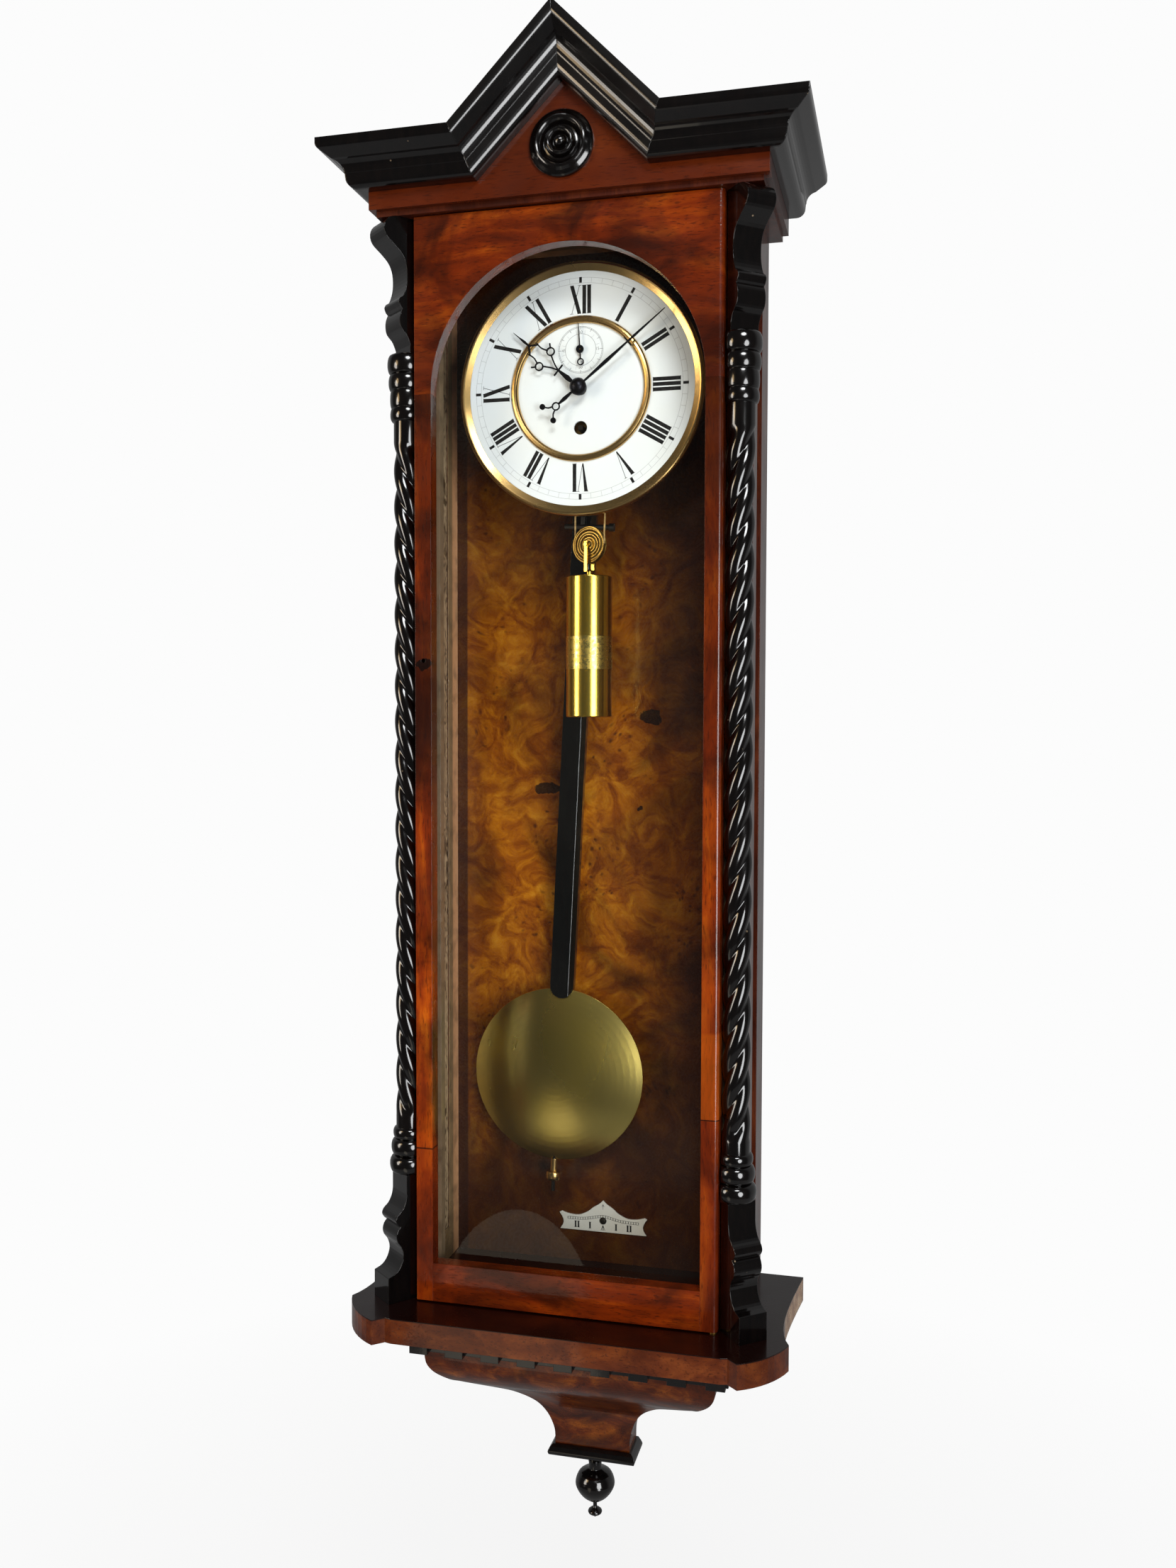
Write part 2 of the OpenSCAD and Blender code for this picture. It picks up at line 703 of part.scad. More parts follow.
// Corbel cut from a profile in the plane square to the canted face, clear of the door
module corbel(profile) {
    color(ebony) intersection() {
        at_column() rotate([90, 0, 0]) linear_extrude(corbel_w, center = true) polygon(profile);
        box(door_clear_x, frieze_half + cornice_p, -frieze_front - cornice_p, 0,
            plinth_z, roof_z);
    }
}

module lower_corbel() {
    z = plinth_z;
    s = lower_corbel_h;
    corbel(concat([[-cant_set, z], [24.3, z], [24.3, z + s * 0.207]],
        curve([[24, z + s * 0.21], [17.8, z + s * 0.236], [13.6, z + s * 0.29], [11.7, z + s * 0.362],
            [13.2, z + s * 0.43], [16.4, z + s * 0.48], [17.4, z + s * 0.525],
            [16.2, z + s * 0.57], [13.8, z + s * 0.6]], 3),
        curve([[15.8, z + s * 0.612], [17.9, z + s * 0.65], [16.6, z + s * 0.69],
            [12.4, z + s * 0.73], [9.6, z + s * 0.79], [8.7, z + s * 0.845]], 3),
        [[8.7, z + s], [-cant_set, z + s]]));
}

module upper_corbel() {
    z = roof_z - upper_corbel_h;
    s = upper_corbel_h;
    corbel(concat([[-cant_set, z], [3.6, z], [3.6, z + s * 0.052]],
        curve([[3.6, z + s * 0.06], [5.2, z + s * 0.1], [6.9, z + s * 0.13],
            [11, z + s * 0.175], [12.1, z + s * 0.23], [11.6, z + s * 0.28],
            [10.1, z + s * 0.32]], 3),
        curve([[11.6, z + s * 0.335], [12.9, z + s * 0.37], [11.6, z + s * 0.4],
            [9, z + s * 0.42], [6.4, z + s * 0.5], [5.8, z + s * 0.583],
            [6.8, z + s * 0.66], [10, z + s * 0.724], [16, z + s * 0.78]], 3),
        arc(14.8, z + s * 0.894, 9.5, -50, 75, 9),
        [[13, z + s], [-cant_set, z + s]]));
}

module upper_corbel_left() hand(false) upper_corbel();
module upper_corbel_right() hand(true) upper_corbel();
module lower_corbel_left() hand(false) lower_corbel();
module lower_corbel_right() hand(true) lower_corbel();

function twist_section() =
    [for (i = [0:6 * twist_starts - 1]) let (a = 60 / twist_starts * i)
        (twist_r - twist_depth + twist_depth * pow(abs(cos(a * twist_starts / 2)), 0.9))
            * [cos(a), sin(a)]];

module twist_column() {
    top = roof_z - upper_corbel_h;
    foot = plinth_z + lower_corbel_h;
    u = upper_turning_h;
    v = lower_turning_h;
    tenon = twist_r / 2;
    upper = concat([[0, twist_top - tenon], [tenon, twist_top - tenon], [tenon, twist_top],
        [twist_r, twist_top], [twist_r, top - u * 0.77]],
        bead(top - u * 0.77, twist_r, top - u * 0.61, 11.5, 12.6),
        bead(top - u * 0.61, 11.5, top - u * 0.41, 12, 12.7),
        bead(top - u * 0.41, 12, top - u * 0.22, 12, 13.8),
        bead(top - u * 0.22, 12, top, 12.4, 14.6), [[0, top]]);
    lower = concat([[0, foot], [12.6, foot]],
        bead(foot, 12.6, foot + v * 0.3, 10.8, 15),
        bead(foot + v * 0.3, 10.8, foot + v * 0.6, 10.6, 13.9),
        bead(foot + v * 0.6, 10.6, foot + v * 0.8, twist_r, 12.4),
        [[twist_r, twist_bottom], [tenon, twist_bottom], [tenon, twist_bottom + tenon],
        [0, twist_bottom + tenon]]);
    color(ebony) union() {
        at_column() translate([0, 0, twist_bottom])
            linear_extrude(twist_l, twist = -360 * twist_l / twist_lead, slices = 126, $fn = 18)
                polygon(twist_section());
        intersection() {
            at_column() rotate([0, 0, -90]) rotate_extrude() polygon(upper);
            at_column() box(-cant_set, 20, -20, 20, twist_top - tenon, top);
            box(door_clear_x, frieze_half, -frieze_front, 0, twist_top - tenon, top);
        }
        intersection() {
            at_column() rotate([0, 0, -90]) rotate_extrude() polygon(lower);
            at_column() box(-cant_set, 20, -20, 20, foot, twist_bottom + tenon);
            box(door_clear_x, frieze_half, -frieze_front, 0, foot, twist_bottom + tenon);
        }
    }
}

module column_left() hand(false) twist_column();
module column_right() hand(true) twist_column();

// Recess for the glass, from the back of the door
module glass_recess(clear, front, back) {
    sheet(front, front - back) union() {
        translate([-sight_half - rebate_w + clear, sight_bottom - rebate_w + clear])
            square([2 * (sight_half + rebate_w - clear), arch_z - sight_bottom + rebate_w - clear]);
        intersection() {
            translate([0, arch_z]) circle(r = sight_half + rebate_w - clear, $fn = 128);
            translate([-case_half, arch_z - over]) square([2 * case_half, case_half + over]);
        }
    }
}

// Rounds the front edge of the door beside its pivots
module pivot_edge(z0, z1) {
    difference() {
        box(pivot_x, door_half + over, -door_front - over, -pivot_y, z0, z1);
        translate([pivot_x, -pivot_y, z0 - over])
            cylinder(r = pivot_set, h = z1 - z0 + 2 * over);
    }
}

module door_stile_left() {
    lock_x = (door_half + sight_half) / 2;
    color(walnut) difference() {
        box(-door_half, -sight_half, -door_front, -door_back, door_bottom, arch_z);
        glass_recess(0, pane_front, door_back - over);
        box(-door_half + 1.5, -lock_x + 2.5, -door_front + 6, -door_back + over,
            keyhole_z - 15, keyhole_z + 15);
        bar(-lock_x, keyhole_z, 1.6, door_back, door_front + over);
    }
}

module door_lock() {
    lock_x = (door_half + sight_half) / 2;
    color(steel) difference() {
        box(-door_half + 1.5, -lock_x + 2.5, -door_front + 6, -door_back,
            keyhole_z - 15, keyhole_z + 15);
        bar(-lock_x, keyhole_z, 1.6, door_back + 4, door_front);
    }
}

module door_stile_right() {
    color(walnut) difference() {
        box(sight_half, door_half, -door_front, -door_back, door_bottom, arch_z);
        glass_recess(0, pane_front, door_back - over);
        pivot_edge(door_bottom - over, arch_z + over);
        translate([pivot_x, -pivot_y, door_bottom - over])
            cylinder(r = pivot_r + 0.05, h = pivot_depth + over);
    }
}

module door_top_rail() {
    color(walnut) difference() {
        box(-door_half, door_half, -door_front, -door_back, arch_z, door_top);
        bar(0, arch_z, sight_half, door_back - over, door_front + over, $fn = 128);
        bar(0, arch_z, sight_half + rebate_w, door_back - over, pane_front, $fn = 128);
        pivot_edge(arch_z - over, door_top + over);
        translate([pivot_x, -pivot_y, door_top - pivot_depth])
            cylinder(r = pivot_r + 0.05, h = pivot_depth + over);
    }
}

module door_bottom_rail() {
    color(walnut) difference() {
        box(-sight_half, sight_half, -door_front, -door_back, door_bottom, sight_bottom);
        glass_recess(0, pane_front, door_back - over);
    }
}

module door_glass() {
    color(glass) glass_recess(0.2, pane_front, pane_front - glass_t);
}

module door_hinges() {
    color(brass) {
        translate([pivot_x, -pivot_y, plinth_z - pivot_depth])
            cylinder(r = pivot_r, h = 2 * pivot_depth + door_gap_bottom - 0.5);
        translate([pivot_x, -pivot_y, plinth_z])
            cylinder(r = 3, h = door_gap_bottom - 0.1);
        translate([pivot_x, -pivot_y, door_top - pivot_depth + 0.5])
            cylinder(r = pivot_r, h = pivot_depth - 0.5 + door_gap_top + roof_t);
    }
}

module beat_scale() {
    half = scale_w / 2;
    edge = curve([[half - 0.6, 0], [half - 2.6, 3], [half - 3.4, 6.4], [half - 2.2, 10], [half, 13.2]], 3);
    wing = curve([[half - 2, 14.2], [half - 8, 12.6], [20, 12.4], [13, 15.4], [8, 19.4], [3, 22.6],
        [0, 25.6]], 3);
    right = concat(edge, wing);
    color(enamel) translate([scale_x, 0, door_bottom + scale_rise]) sheet(back_t + 1.2, 1.2)
        polygon(concat(right, [for (i = [len(right) - 2:-1:0]) [-right[i][0], right[i][1]]]));
}

module movement_bracket() {
    color(steel) at_dial() difference() {
        union() {
            box(-plate_half - 6, plate_half + 6, -back_t - 3, -back_t, -35, 76);
            for (right = [true, false])
                hand(right)
                    box(plate_half - arm_t, plate_half, -plate_depth, -back_t - 2, -20, 62);
            bar(0, pendulum_rise, stud_r, back_t + 2, pendulum_depth + 4.5);
            bar(0, pendulum_rise, stud_r + 2.5, back_t + 2, pendulum_depth - 6.5);
        }
        box(-20, 20, -back_t - 3 - over, -back_t + over, -36, 34);
    }
}

module plate_blank(depth) {
    sheet(depth, plate_t)
        difference() {
            translate([-plate_half, plate_low]) square([2 * plate_half, plate_high - plate_low]);
            for (x = [-plate_half, plate_half])
                translate([x, plate_low]) circle(r = 5);
        }
}

module front_plate() {
    color(brass) at_dial() union() {
        difference() {
            plate_blank(front_face);
            bar(0, 0, centre_arbor + pivot_clear, front_in - over, front_face + over);
            bar(0, -barrel_drop, barrel_arbor + pivot_clear, front_in - over, front_face + over);
            bar(third_x, third_z, pivot_pin + pivot_clear, front_in - over, front_face + over);
            bar(0, seconds_rise, pivot_pin + pivot_clear, front_in - over, front_face + over);
            bar(0, pendulum_rise, pivot_pin + pivot_clear, front_in - over, front_face + over);
            for (x = [-pillar_x, pillar_x], z = [pillar_low, pillar_high])
                bar(x, z, 2, front_in - over, front_face + over);
        }
        bar(motion_x, motion_z, arbor_r, front_face - plate_t / 2, front_face + 4.3);
        bar(weight_x - line_x * cos(pulley_turn), line_top - dial_z + pin_r + 0.1, pin_r,
            front_in - 9.5, front_in + over);
    }
}

module back_plate() {
    color(brass) at_dial() union() {
        difference() {
            plate_blank(back_face);
            bar(0, 0, 0.8 + pivot_clear, plate_depth - over, back_face + over);
            bar(0, -barrel_drop, 2 + pivot_clear, plate_depth - over, back_face + over);
            bar(third_x, third_z, pivot_pin + pivot_clear, plate_depth - over, back_face + over);
            bar(0, seconds_rise, pivot_pin + pivot_clear, plate_depth - over, back_face + over);
            bar(0, pendulum_rise, arbor_r + pivot_clear, plate_depth - over, back_face + over);
        }
        for (x = [-pillar_x, pillar_x], z = [pillar_low, pillar_high]) {
            bar(x, z, pillar_r, back_face - over, front_in);
            bar(x, z, 2, front_in - over, front_face);
        }
    }
}

module dial_frame() {
    bezel = concat([[enamel_r, 0], [bezel_r, 0], [bezel_r, 3.2]],
        arc(bezel_r - 2.4, 3.4, 2.4, 0, 120, 5), [[enamel_r, dial_plate_t + enamel_t]]);
    ring = concat([[centre_r, dial_plate_t]], arc((centre_r + inner_ring_r) / 2,
        dial_plate_t + enamel_t, (inner_ring_r - centre_r) / 2, 180, 0, 6),
        [[inner_ring_r, dial_plate_t]]);
    color(brass) at_dial() union() {
        difference() {
            bar(0, 0, bezel_r - 1, dial_back, dial_face);
            bar(0, 0, 6, dial_back - over, dial_face + over);
            bar(0, seconds_rise, 2, dial_back - over, dial_face + over);
            bar(0, -barrel_drop, winding_r + 1, dial_back - over, dial_face + over);
        }
        translate([0, -dial_back, 0]) rotate([90, 0, 0]) rotate_extrude($fn = 128) polygon(bezel);
        translate([0, -dial_back, 0]) rotate([90, 0, 0]) rotate_extrude($fn = 128) polygon(ring);
        for (x = [-pillar_x + 6, pillar_x - 6], z = [pillar_low + 8, pillar_high - 8])
            bar(x, z, 2, front_face, dial_back + over / 2);
    }
}

module chapter_ring() {
    color(enamel) at_dial() difference() {
        bar(0, 0, enamel_r, dial_face, enamel_face, $fn = 128);
        bar(0, 0, inner_ring_r, dial_face - over, enamel_face + over, $fn = 128);
    }
}

module dial_centre() {
    face = enamel_face - 0.6;
    color(enamel) at_dial() difference() {
        bar(0, 0, centre_r, dial_face, face, $fn = 128);
        bar(0, 0, 4.6, dial_face - over, face + over);
        bar(0, seconds_rise, 1.2, dial_face - over, face + over);
        bar(0, -barrel_drop, winding_r, dial_face - over, face + over);
    }
}

// Wheel blank with a rim, a hub and spokes
module wheel(outline, root_r, depth, t, hub_r, bore_r, spokes = 5) {
    rim = 2.6;
    sheet(depth + t, t) difference() {
        polygon(outline);
        circle(r = bore_r);
        for (i = [0:spokes - 1])
            rotate(360 / spokes * i) intersection() {
                difference() {
                    circle(r = root_r - rim);
                    circle(r = hub_r);
                }
                translate([1, 1]) rotate(0) polygon([[0, 0], [40, 0],
                    [40 * cos(360 / spokes - 4), 40 * sin(360 / spokes - 4)]]);
            }
    }
}

module barrel() {
    flange = drum_r + 3;
    back = back_face + 6.6;
    front = front_in - 0.8;
    spool = [[0, 0], [flange, 0], [flange, 1.2], [drum_r, 2], [drum_r, front - back - 3],
        [flange, front - back - 2.2], [flange, front - back - 1], [0, front - back - 1]];
    ratchet = [for (i = [0:29]) for (k = [[0, 10], [0.9, 8.6]])
        k[1] * [cos(12 * (i + k[0])), sin(12 * (i + k[0]))]];
    color(brass) at_dial() translate([0, 0, -barrel_drop]) union() {
        translate([0, -back - 1, 0]) rotate([90, 0, 0]) rotate_extrude() polygon(spool);
        sheet(back + 1.2, 1) polygon(ratchet);
        bar(0, 0, barrel_arbor, back_face + 0.4, front_face + 1.5);
        bar(0, 0, 2, plate_depth, back_face + over);
        bar(0, 0, 3.4, front - over / 2, front_in - 0.2);
        box(-1.7, 1.7, -enamel_face + 0.4, -front_face, -1.7, 1.7);
    }
}

module great_wheel() {
    depth = back_face + 4.8;
    root = great_teeth * great_mod / 2 - 1.2 * great_mod;
    color(brass) at_dial() translate([0, 0, -barrel_drop]) union() {
        wheel(gear(great_teeth, great_mod, 1.2, 1.2, 0.44, 90), root, depth, 1.4,
            11, barrel_arbor + 0.05, 6);
        translate([0, -depth - 1.4, 0]) rotate([90, 0, 0]) translate([-12.5, -3, -0.3])
            linear_extrude(1.1) polygon([[0, 0], [2, -0.5], [2.4, 4], [1.4, 6.6], [0.6, 6.6]]);
    }
}

module centre_wheel() {
    depth = back_face + 1.4;
    root = centre_teeth * centre_mod / 2 - 1.2 * centre_mod;
    color(brass) at_dial() union() {
        wheel(gear(centre_teeth, centre_mod, 1.2, 1.2, 0.44, third_angle), root, depth, 1.4,
            4, arbor_r, 5);
        sheet(back_face + 6.7, 2.3)
            polygon(gear(leaves, great_mod, 0.75, 1.55, 0.36, -90 + 180 / leaves));
        bar(0, 0, arbor_r, back_face + 0.2, front_in - 0.2);
        bar(0, 0, 0.8, plate_depth + 0.2, back_face + over);
        bar(0, 0, centre_arbor, front_in - 5, minute_hand_depth - over);
    }
}

module third_wheel() {
    depth = front_in - 2.9;
    root = third_teeth * third_mod / 2 - 1.2 * third_mod;
    color(brass) at_dial() translate([third_x, 0, third_z]) union() {
        wheel(gear(third_teeth, third_mod, 1.2, 1.2, 0.44, escape_angle), root, depth, 1.2,
            4, 0.7, 5);
        sheet(back_face + 3.2, 2.2) polygon(gear(leaves, centre_mod, 0.75, 1.55, 0.36,
            third_angle + 180 + 180 / leaves));
        bar(0, 0, arbor_r, back_face + 0.2, front_in - 0.2);
        bar(0, 0, pivot_pin, plate_depth + 0.2, front_face - 0.2);
    }
}

module escape_wheel() {
    depth = front_in - 8.2;
    p = 360 / escape_teeth;
    r = escape_r;
    outline = [for (i = [0:escape_teeth - 1])
        for (k = [[0.3, r - 2.8], [0.12, r], [0.2, r], [0.62, r - 2.8]])
            k[1] * [cos(p * (i + k[0])), sin(p * (i + k[0]))]];
    color(brass) at_dial() translate([0, 0, seconds_rise]) union() {
        wheel(outline, r - 2.8, depth, 1, 3.5, 0.7, 5);
        sheet(front_in - 1.3, 2) polygon(gear(leaves, third_mod, 0.75, 1.55, 0.36,
            escape_angle + 180 + 180 / leaves));
        bar(0, 0, arbor_r, back_face + 0.2, front_in - 0.2);
        bar(0, 0, pivot_pin, plate_depth + 0.2, seconds_depth + 0.4);
    }
}

module pallet_anchor() {
    depth = front_in - 8.4;
    reach = pendulum_rise - seconds_rise;
    clear_r = escape_r + 1.2;
    arm_l = pendulum_rise + 96;
    crutch = plate_depth - 3.6;
    color(steel) translate([0, 0, pivot_z]) rotate([0, lean, 0]) union() {
        sheet(depth + 1.6, 1.6) difference() {
            union() {
                circle(r = 4);
                intersection() {
                    translate([0, -reach]) difference() {
                        circle(r = clear_r + 3);
                        circle(r = clear_r);
                    }
                    translate([0, -reach]) polygon([[0, 0], [30, 30], [-30, 30]]);
                }
                translate([-2, -reach + clear_r + 0.5]) square([4, reach - clear_r]);
            }
            circle(r = arbor_r);
        }
        bar(0, 0, arbor_r, crutch - 0.2, front_in - 0.2);
        bar(0, 0, pivot_pin, front_in - over, front_face - 0.2);
        bar(0, 0, 4, crutch, crutch + 2);
        sheet(crutch + 2, 2) translate([-1.5, -arm_l]) square([3, arm_l]);
        translate([-14, -crutch - 1, -arm_l]) rotate([0, 90, 0]) cylinder(r = 2, h = 38);
        translate([21, -crutch - 1, -arm_l]) rotate([0, 90, 0]) cylinder(r = 3.1, h = 4);
        bar(0, -arm_l, 1.5, pendulum_depth, crutch + 1);
    }
}

module rod_outline() {
    hull() {
        translate([-rod_w / 2, -rod_end + rod_w / 2]) square([rod_w, rod_end - rod_w / 2 - 46]);
        translate([0, -rod_end + rod_w / 2]) circle(r = rod_w / 2);
    }
}

module pendulum_rod() {
    head = 44;
    chamfer = 2.4;
    color(ebony) translate([0, 0, pivot_z]) rotate([0, lean, 0]) difference() {
        union() {
            sheet(pendulum_depth + 2, 4) difference() {
                circle(r = 6);
                circle(r = stud_r + 0.05);
            }
            sheet(pendulum_depth + 0.5, 1) translate([-4, -head - 4]) square([8, head - 1]);
            sheet(pendulum_depth + rod_t / 2, rod_t) union() {
                translate([-rod_w / 2, -rod_end + rod_w / 2])
                    square([rod_w, rod_end - rod_w / 2 - head]);
                translate([0, -rod_end + rod_w / 2]) circle(r = rod_w / 2);
            }
            translate([0, -pendulum_depth, -bob_foot - 26]) cylinder(r = 1.6, h = 160);
        }
        translate([rod_w / 2, -pendulum_depth - rod_t / 2, -rod_end - over]) rotate([0, 0, 45])
            translate([-chamfer, -chamfer, 0]) cube([2 * chamfer, 2 * chamfer, rod_end]);
        bar(0, -pendulum_rise - 96, 1.6, pendulum_depth - 5, pendulum_depth + rod_t);
    }
}

module pendulum_bob() {
    k = bob_half_t - 1;
    big = (bob_r * bob_r + k * k) / (2 * k);
    edge = asin(bob_r / big);
    front = [for (i = [0:14]) let (a = edge * i / 14) [big * sin(a), 1 + big * cos(a) - big + k]];
    color(brass) translate([0, 0, pivot_z]) rotate([0, lean, 0]) difference() {
        translate([0, -pendulum_depth, -bob_drop]) rotate([90, 0, 0]) rotate_extrude($fn = 128)
            polygon(concat(front, [for (i = [14:-1:0]) [front[i][0], -front[i][1]]]));
        translate([0, -pendulum_depth, -bob_foot - over]) cylinder(r = 1.7, h = 2 * bob_r + 2 * over);
        sheet(pendulum_depth + rod_t / 2 + 0.2, rod_t + 0.4) union() {
            translate([0, -rod_end + rod_w / 2]) circle(r = rod_w / 2 + 0.2);
            translate([-rod_w / 2 - 0.2, -rod_end + rod_w / 2]) square([rod_w + 0.4, rod_w]);
        }
    }
}

module rating_nut() {
    color(brass) translate([0, 0, pivot_z]) rotate([0, lean, 0])
        translate([0, -pendulum_depth, -bob_foot]) difference() {
            rotate_extrude() polygon(concat([[0, 0], [2.8, 0], [2.8, -9], [4, -10]],
                bead(-10, 5.4, -16.5, 5.4, 6.2), [[3, -18], [0, -18]]));
            translate([0, 0, -18 - over]) cylinder(r = 1.6, h = 18 + 2 * over);
        }
}

module weight() {
    turn = -pulley_turn;
    color(brass) translate([weight_x, -weight_depth, 0]) union() {
        translate([0, 0, weight_top - weight_l]) rotate_extrude() polygon(concat([[0, 0]],
            arc(weight_r - 0.8, 0.8, 0.8, -90, 0, 3),
            arc(weight_r - 0.8, weight_l - 0.8, 0.8, 0, 90, 3), [[0, weight_l]]));
        translate([0, 0, weight_top]) cylinder(r = 2.2, h = 4);
        rotate([0, 0, turn]) {
            box(-1.4, 1.4, -cheek_gap - 1, cheek_gap + 1, weight_top + 3.5, weight_top + 5);
            for (y = [-cheek_gap - 1, cheek_gap])
                box(-1.4, 1.4, y, y + 1, weight_top + 3.5, pulley_z + 2.4);
            translate([0, cheek_gap + 1.8, pulley_z]) rotate([90, 0, 0])
                cylinder(r = 1.5, h = 2 * cheek_gap + 3.6);
        }
    }
}

module weight_pulley() {
    w = 3.2;
    outline = [[1.55, -w], [4.4, -w], [4.4, -w + 0.6], [pulley_r - 1, -w + 0.9],
        [pulley_r, -w + 1.2], [groove_r, -0.7], [groove_r, 0.7], [pulley_r, w - 1.2],
        [pulley_r - 1, w - 0.9], [4.4, w - 0.6], [4.4, w], [1.55, w]];
    color(brass) translate([weight_x, -weight_depth, pulley_z]) rotate([0, 0, -pulley_turn])
        rotate([90, 0, 0]) rotate_extrude() polygon(outline);
}

// Straight run of the line from p up to q
module line_run(p, q) {
    d = q - p;
    translate(p) rotate([0, acos(d[2] / norm(d)), atan2(d[1], d[0])])
        cylinder(r = line_r, h = norm(d), $fn = 24);
}

module gut_line() {
    other = [2 * weight_x - pulley_point[0], -2 * weight_depth - pulley_point[1], pulley_z];
    color(gut) {
        line_run(pulley_point, lead_end);
        line_run(other, [other[0], other[1], line_top]);
    }
}

module line_lead() {
    color(gut) line_run(lead_end, drum_point);
}

module motion_wheel() {
    root = motion_teeth * motion_mod / 2 - 1.2 * motion_mod;
    color(brass) at_dial() translate([motion_x, 0, motion_z]) difference() {
        union() {
            wheel(gear(motion_teeth, motion_mod, 1, 1.2, 0.42, 45), root, front_face + 0.5, 1.2,
                3.4, arbor_r, 4);
            sheet(front_face + 4.2, 2.6) polygon(gear(leaves, motion_mod, 0.75, 1.5, 0.36,
                45 + 180 / leaves));
        }
        bar(0, 0, arbor_r + pivot_clear, front_face - over, front_face + 6);
    }
}

module hour_wheel() {
    root = hour_teeth * motion_mod / 2 - 1.2 * motion_mod;
    color(brass) at_dial() difference() {
        union() {
            wheel(gear(hour_teeth, motion_mod, 1, 1.2, 0.42, 225), root, front_face + 2.6, 1.2,
                4.4, cannon_r, 4);
            bar(0, 0, hour_pipe_r, front_face + 2.6, hour_hand_depth + hand_t);
        }
        bar(0, 0, cannon_r + 0.1, front_face, hour_hand_depth + 3);
    }
}

// Flat shape, alike on both sides of the hand's line, from its right-hand edge
module spindle(edge) {
    polygon(concat(edge, [for (i = [len(edge) - 1:-1:0]) [-edge[i][0], edge[i][1]]]));
}

module ring2(p, r, w) {
    translate(p) difference() {
        circle(r = r, $fn = 32);
        circle(r = r - w, $fn = 32);
    }
}

module line2(points, w) {
    for (i = [0:len(points) - 2])
        let (p = points[i], q = points[i + 1], d = (q - p) / norm(q - p),
            n = [-d[1], d[0]] * w / 2)
            polygon([p + n - d * w / 3, p - n - d * w / 3, q - n + d * w / 3, q + n + d * w / 3]);
}

module hour_hand() {
    k = hour_l / 66;
    color(blued) at_dial() sheet(hour_hand_depth + hand_t, hand_t) rotate(hour_angle)
        difference() {
            union() {
                circle(r = boss_r - 0.6);
                spindle(k * [[0.9, 5], [1.9, 11.5], [0.7, 20.8]]);
                translate([-5, 20.1 * k]) square([10, 1]);
                spindle(k * [[0.6, 49], [1, 55.5], [0.4, 60], [0.15, 66]]);
                for (side = [-1, 1])
                    lyre(side, k);
            }
            circle(r = hour_pipe_r);
        }
}

// One side of the hour hand's lyre
module lyre(side, k) {
    ring2(k * [side * 6.8, 34.2], 3.3, 0.95);
    for (run = [[[0, 20.6], [side * 1.2, 24.5], [side * 2.8, 28], [side * 5, 32.1]],
            [[side * 5.9, 36.8], [side * 4.6, 40.5], [side * 4.5, 43.5], [side * 5, 46.2]],
            [[side * 4.7, 45.4], [side * 2.6, 47.2], [0, 50.6]],
            [[side * 8.6, 36], [side * 10.8, 38.4]]])
        line2(k * curve(run, 2), 1);
}

module minute_hand() {
    k = minute_l / 83;
    color(blued) at_dial() difference() {
        union() {
            sheet(minute_hand_depth + hand_t, hand_t) rotate(minute_angle) union() {
                circle(r = boss_r - 0.6);
                spindle(k * [[0.6, 5], [1.3, 27], [0.5, 47.8], [0.8, 54], [0.35, 74], [0.15, 83]]);
                translate([-4, 47.3 * k]) square([8, 1]);
                spindle(k * [[0.5, -19.4], [1.4, -13], [0.6, -5]]);
                ring2(k * [0, -21.5], 3.1, 0.9);
                for (side = [-1, 1]) {
                    line2(k * curve([[side * 1.6, -23.6], [side * 3, -26.6], [side * 6, -28.8]], 2), 0.9);
                    translate(k * [side * 6.6, -29.4]) circle(r = 2.1);
                }
            }
            translate([0, -minute_hand_depth - hand_t, 0]) rotate([90, 0, 0]) rotate_extrude()
                polygon(concat([[0, -0.4], [boss_r, -0.4]], arc(0, -2, boss_r + 0.4, 18, 90, 6)));
            bar(0, 0, cannon_r, front_face + 1.9, minute_hand_depth + 0.6);
            sheet(front_face + 2.2, 1.8) polygon(gear(cannon_teeth, motion_mod, 0.8, 1.4, 0.38,
                225 + 180 / cannon_teeth));
        }
        bar(0, 0, centre_arbor, front_face, minute_hand_depth - 0.9);
    }
}

module seconds_hand() {
    k = seconds_l / 18.8;
    color(blued) at_dial() translate([0, 0, seconds_rise])
        sheet(seconds_depth + 0.8, 0.8) difference() {
            rotate(3.5) union() {
                circle(r = 2.9 * k);
                spindle(k * [[0.45, 2], [0.2, 18.8]]);
                spindle(k * [[0.45, -7.2], [0.45, -2]]);
                ring2(k * [0, -9.3], 2.6, 0.8);
            }
            circle(r = pivot_pin);
        }
}

backboard();
side_left();
side_right();
side_glass();
corner_post_left();
corner_post_right();
roof_board();
plinth();
dentil_strip();
base_apron();
base_neck();
drop_block();
drop_finial();
frieze();
frieze_sides();
cornice_left();
cornice_right();
gable_rake_left();
gable_rake_right();
cornice_returns();
gable_roundel();
upper_corbel_left();
upper_corbel_right();
lower_corbel_left();
lower_corbel_right();
column_left();
column_right();
beat_scale();
wall_hanger();
movement_bracket();
front_plate();
back_plate();
dial_frame();
chapter_ring();
dial_centre();
door_stile_left();
door_stile_right();
door_top_rail();
door_bottom_rail();
door_glass();
door_lock();
door_hinges();
pendulum_rod();
pendulum_bob();
rating_nut();
pallet_anchor();
barrel();
great_wheel();
centre_wheel();
third_wheel();
escape_wheel();
motion_wheel();
hour_wheel();
minute_hand();
hour_hand();
seconds_hand();
weight();
weight_pulley();
line_lead();
gut_line();
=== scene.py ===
import math
import numpy as np
import bpy
import bmesh
from mathutils import Matrix, Vector


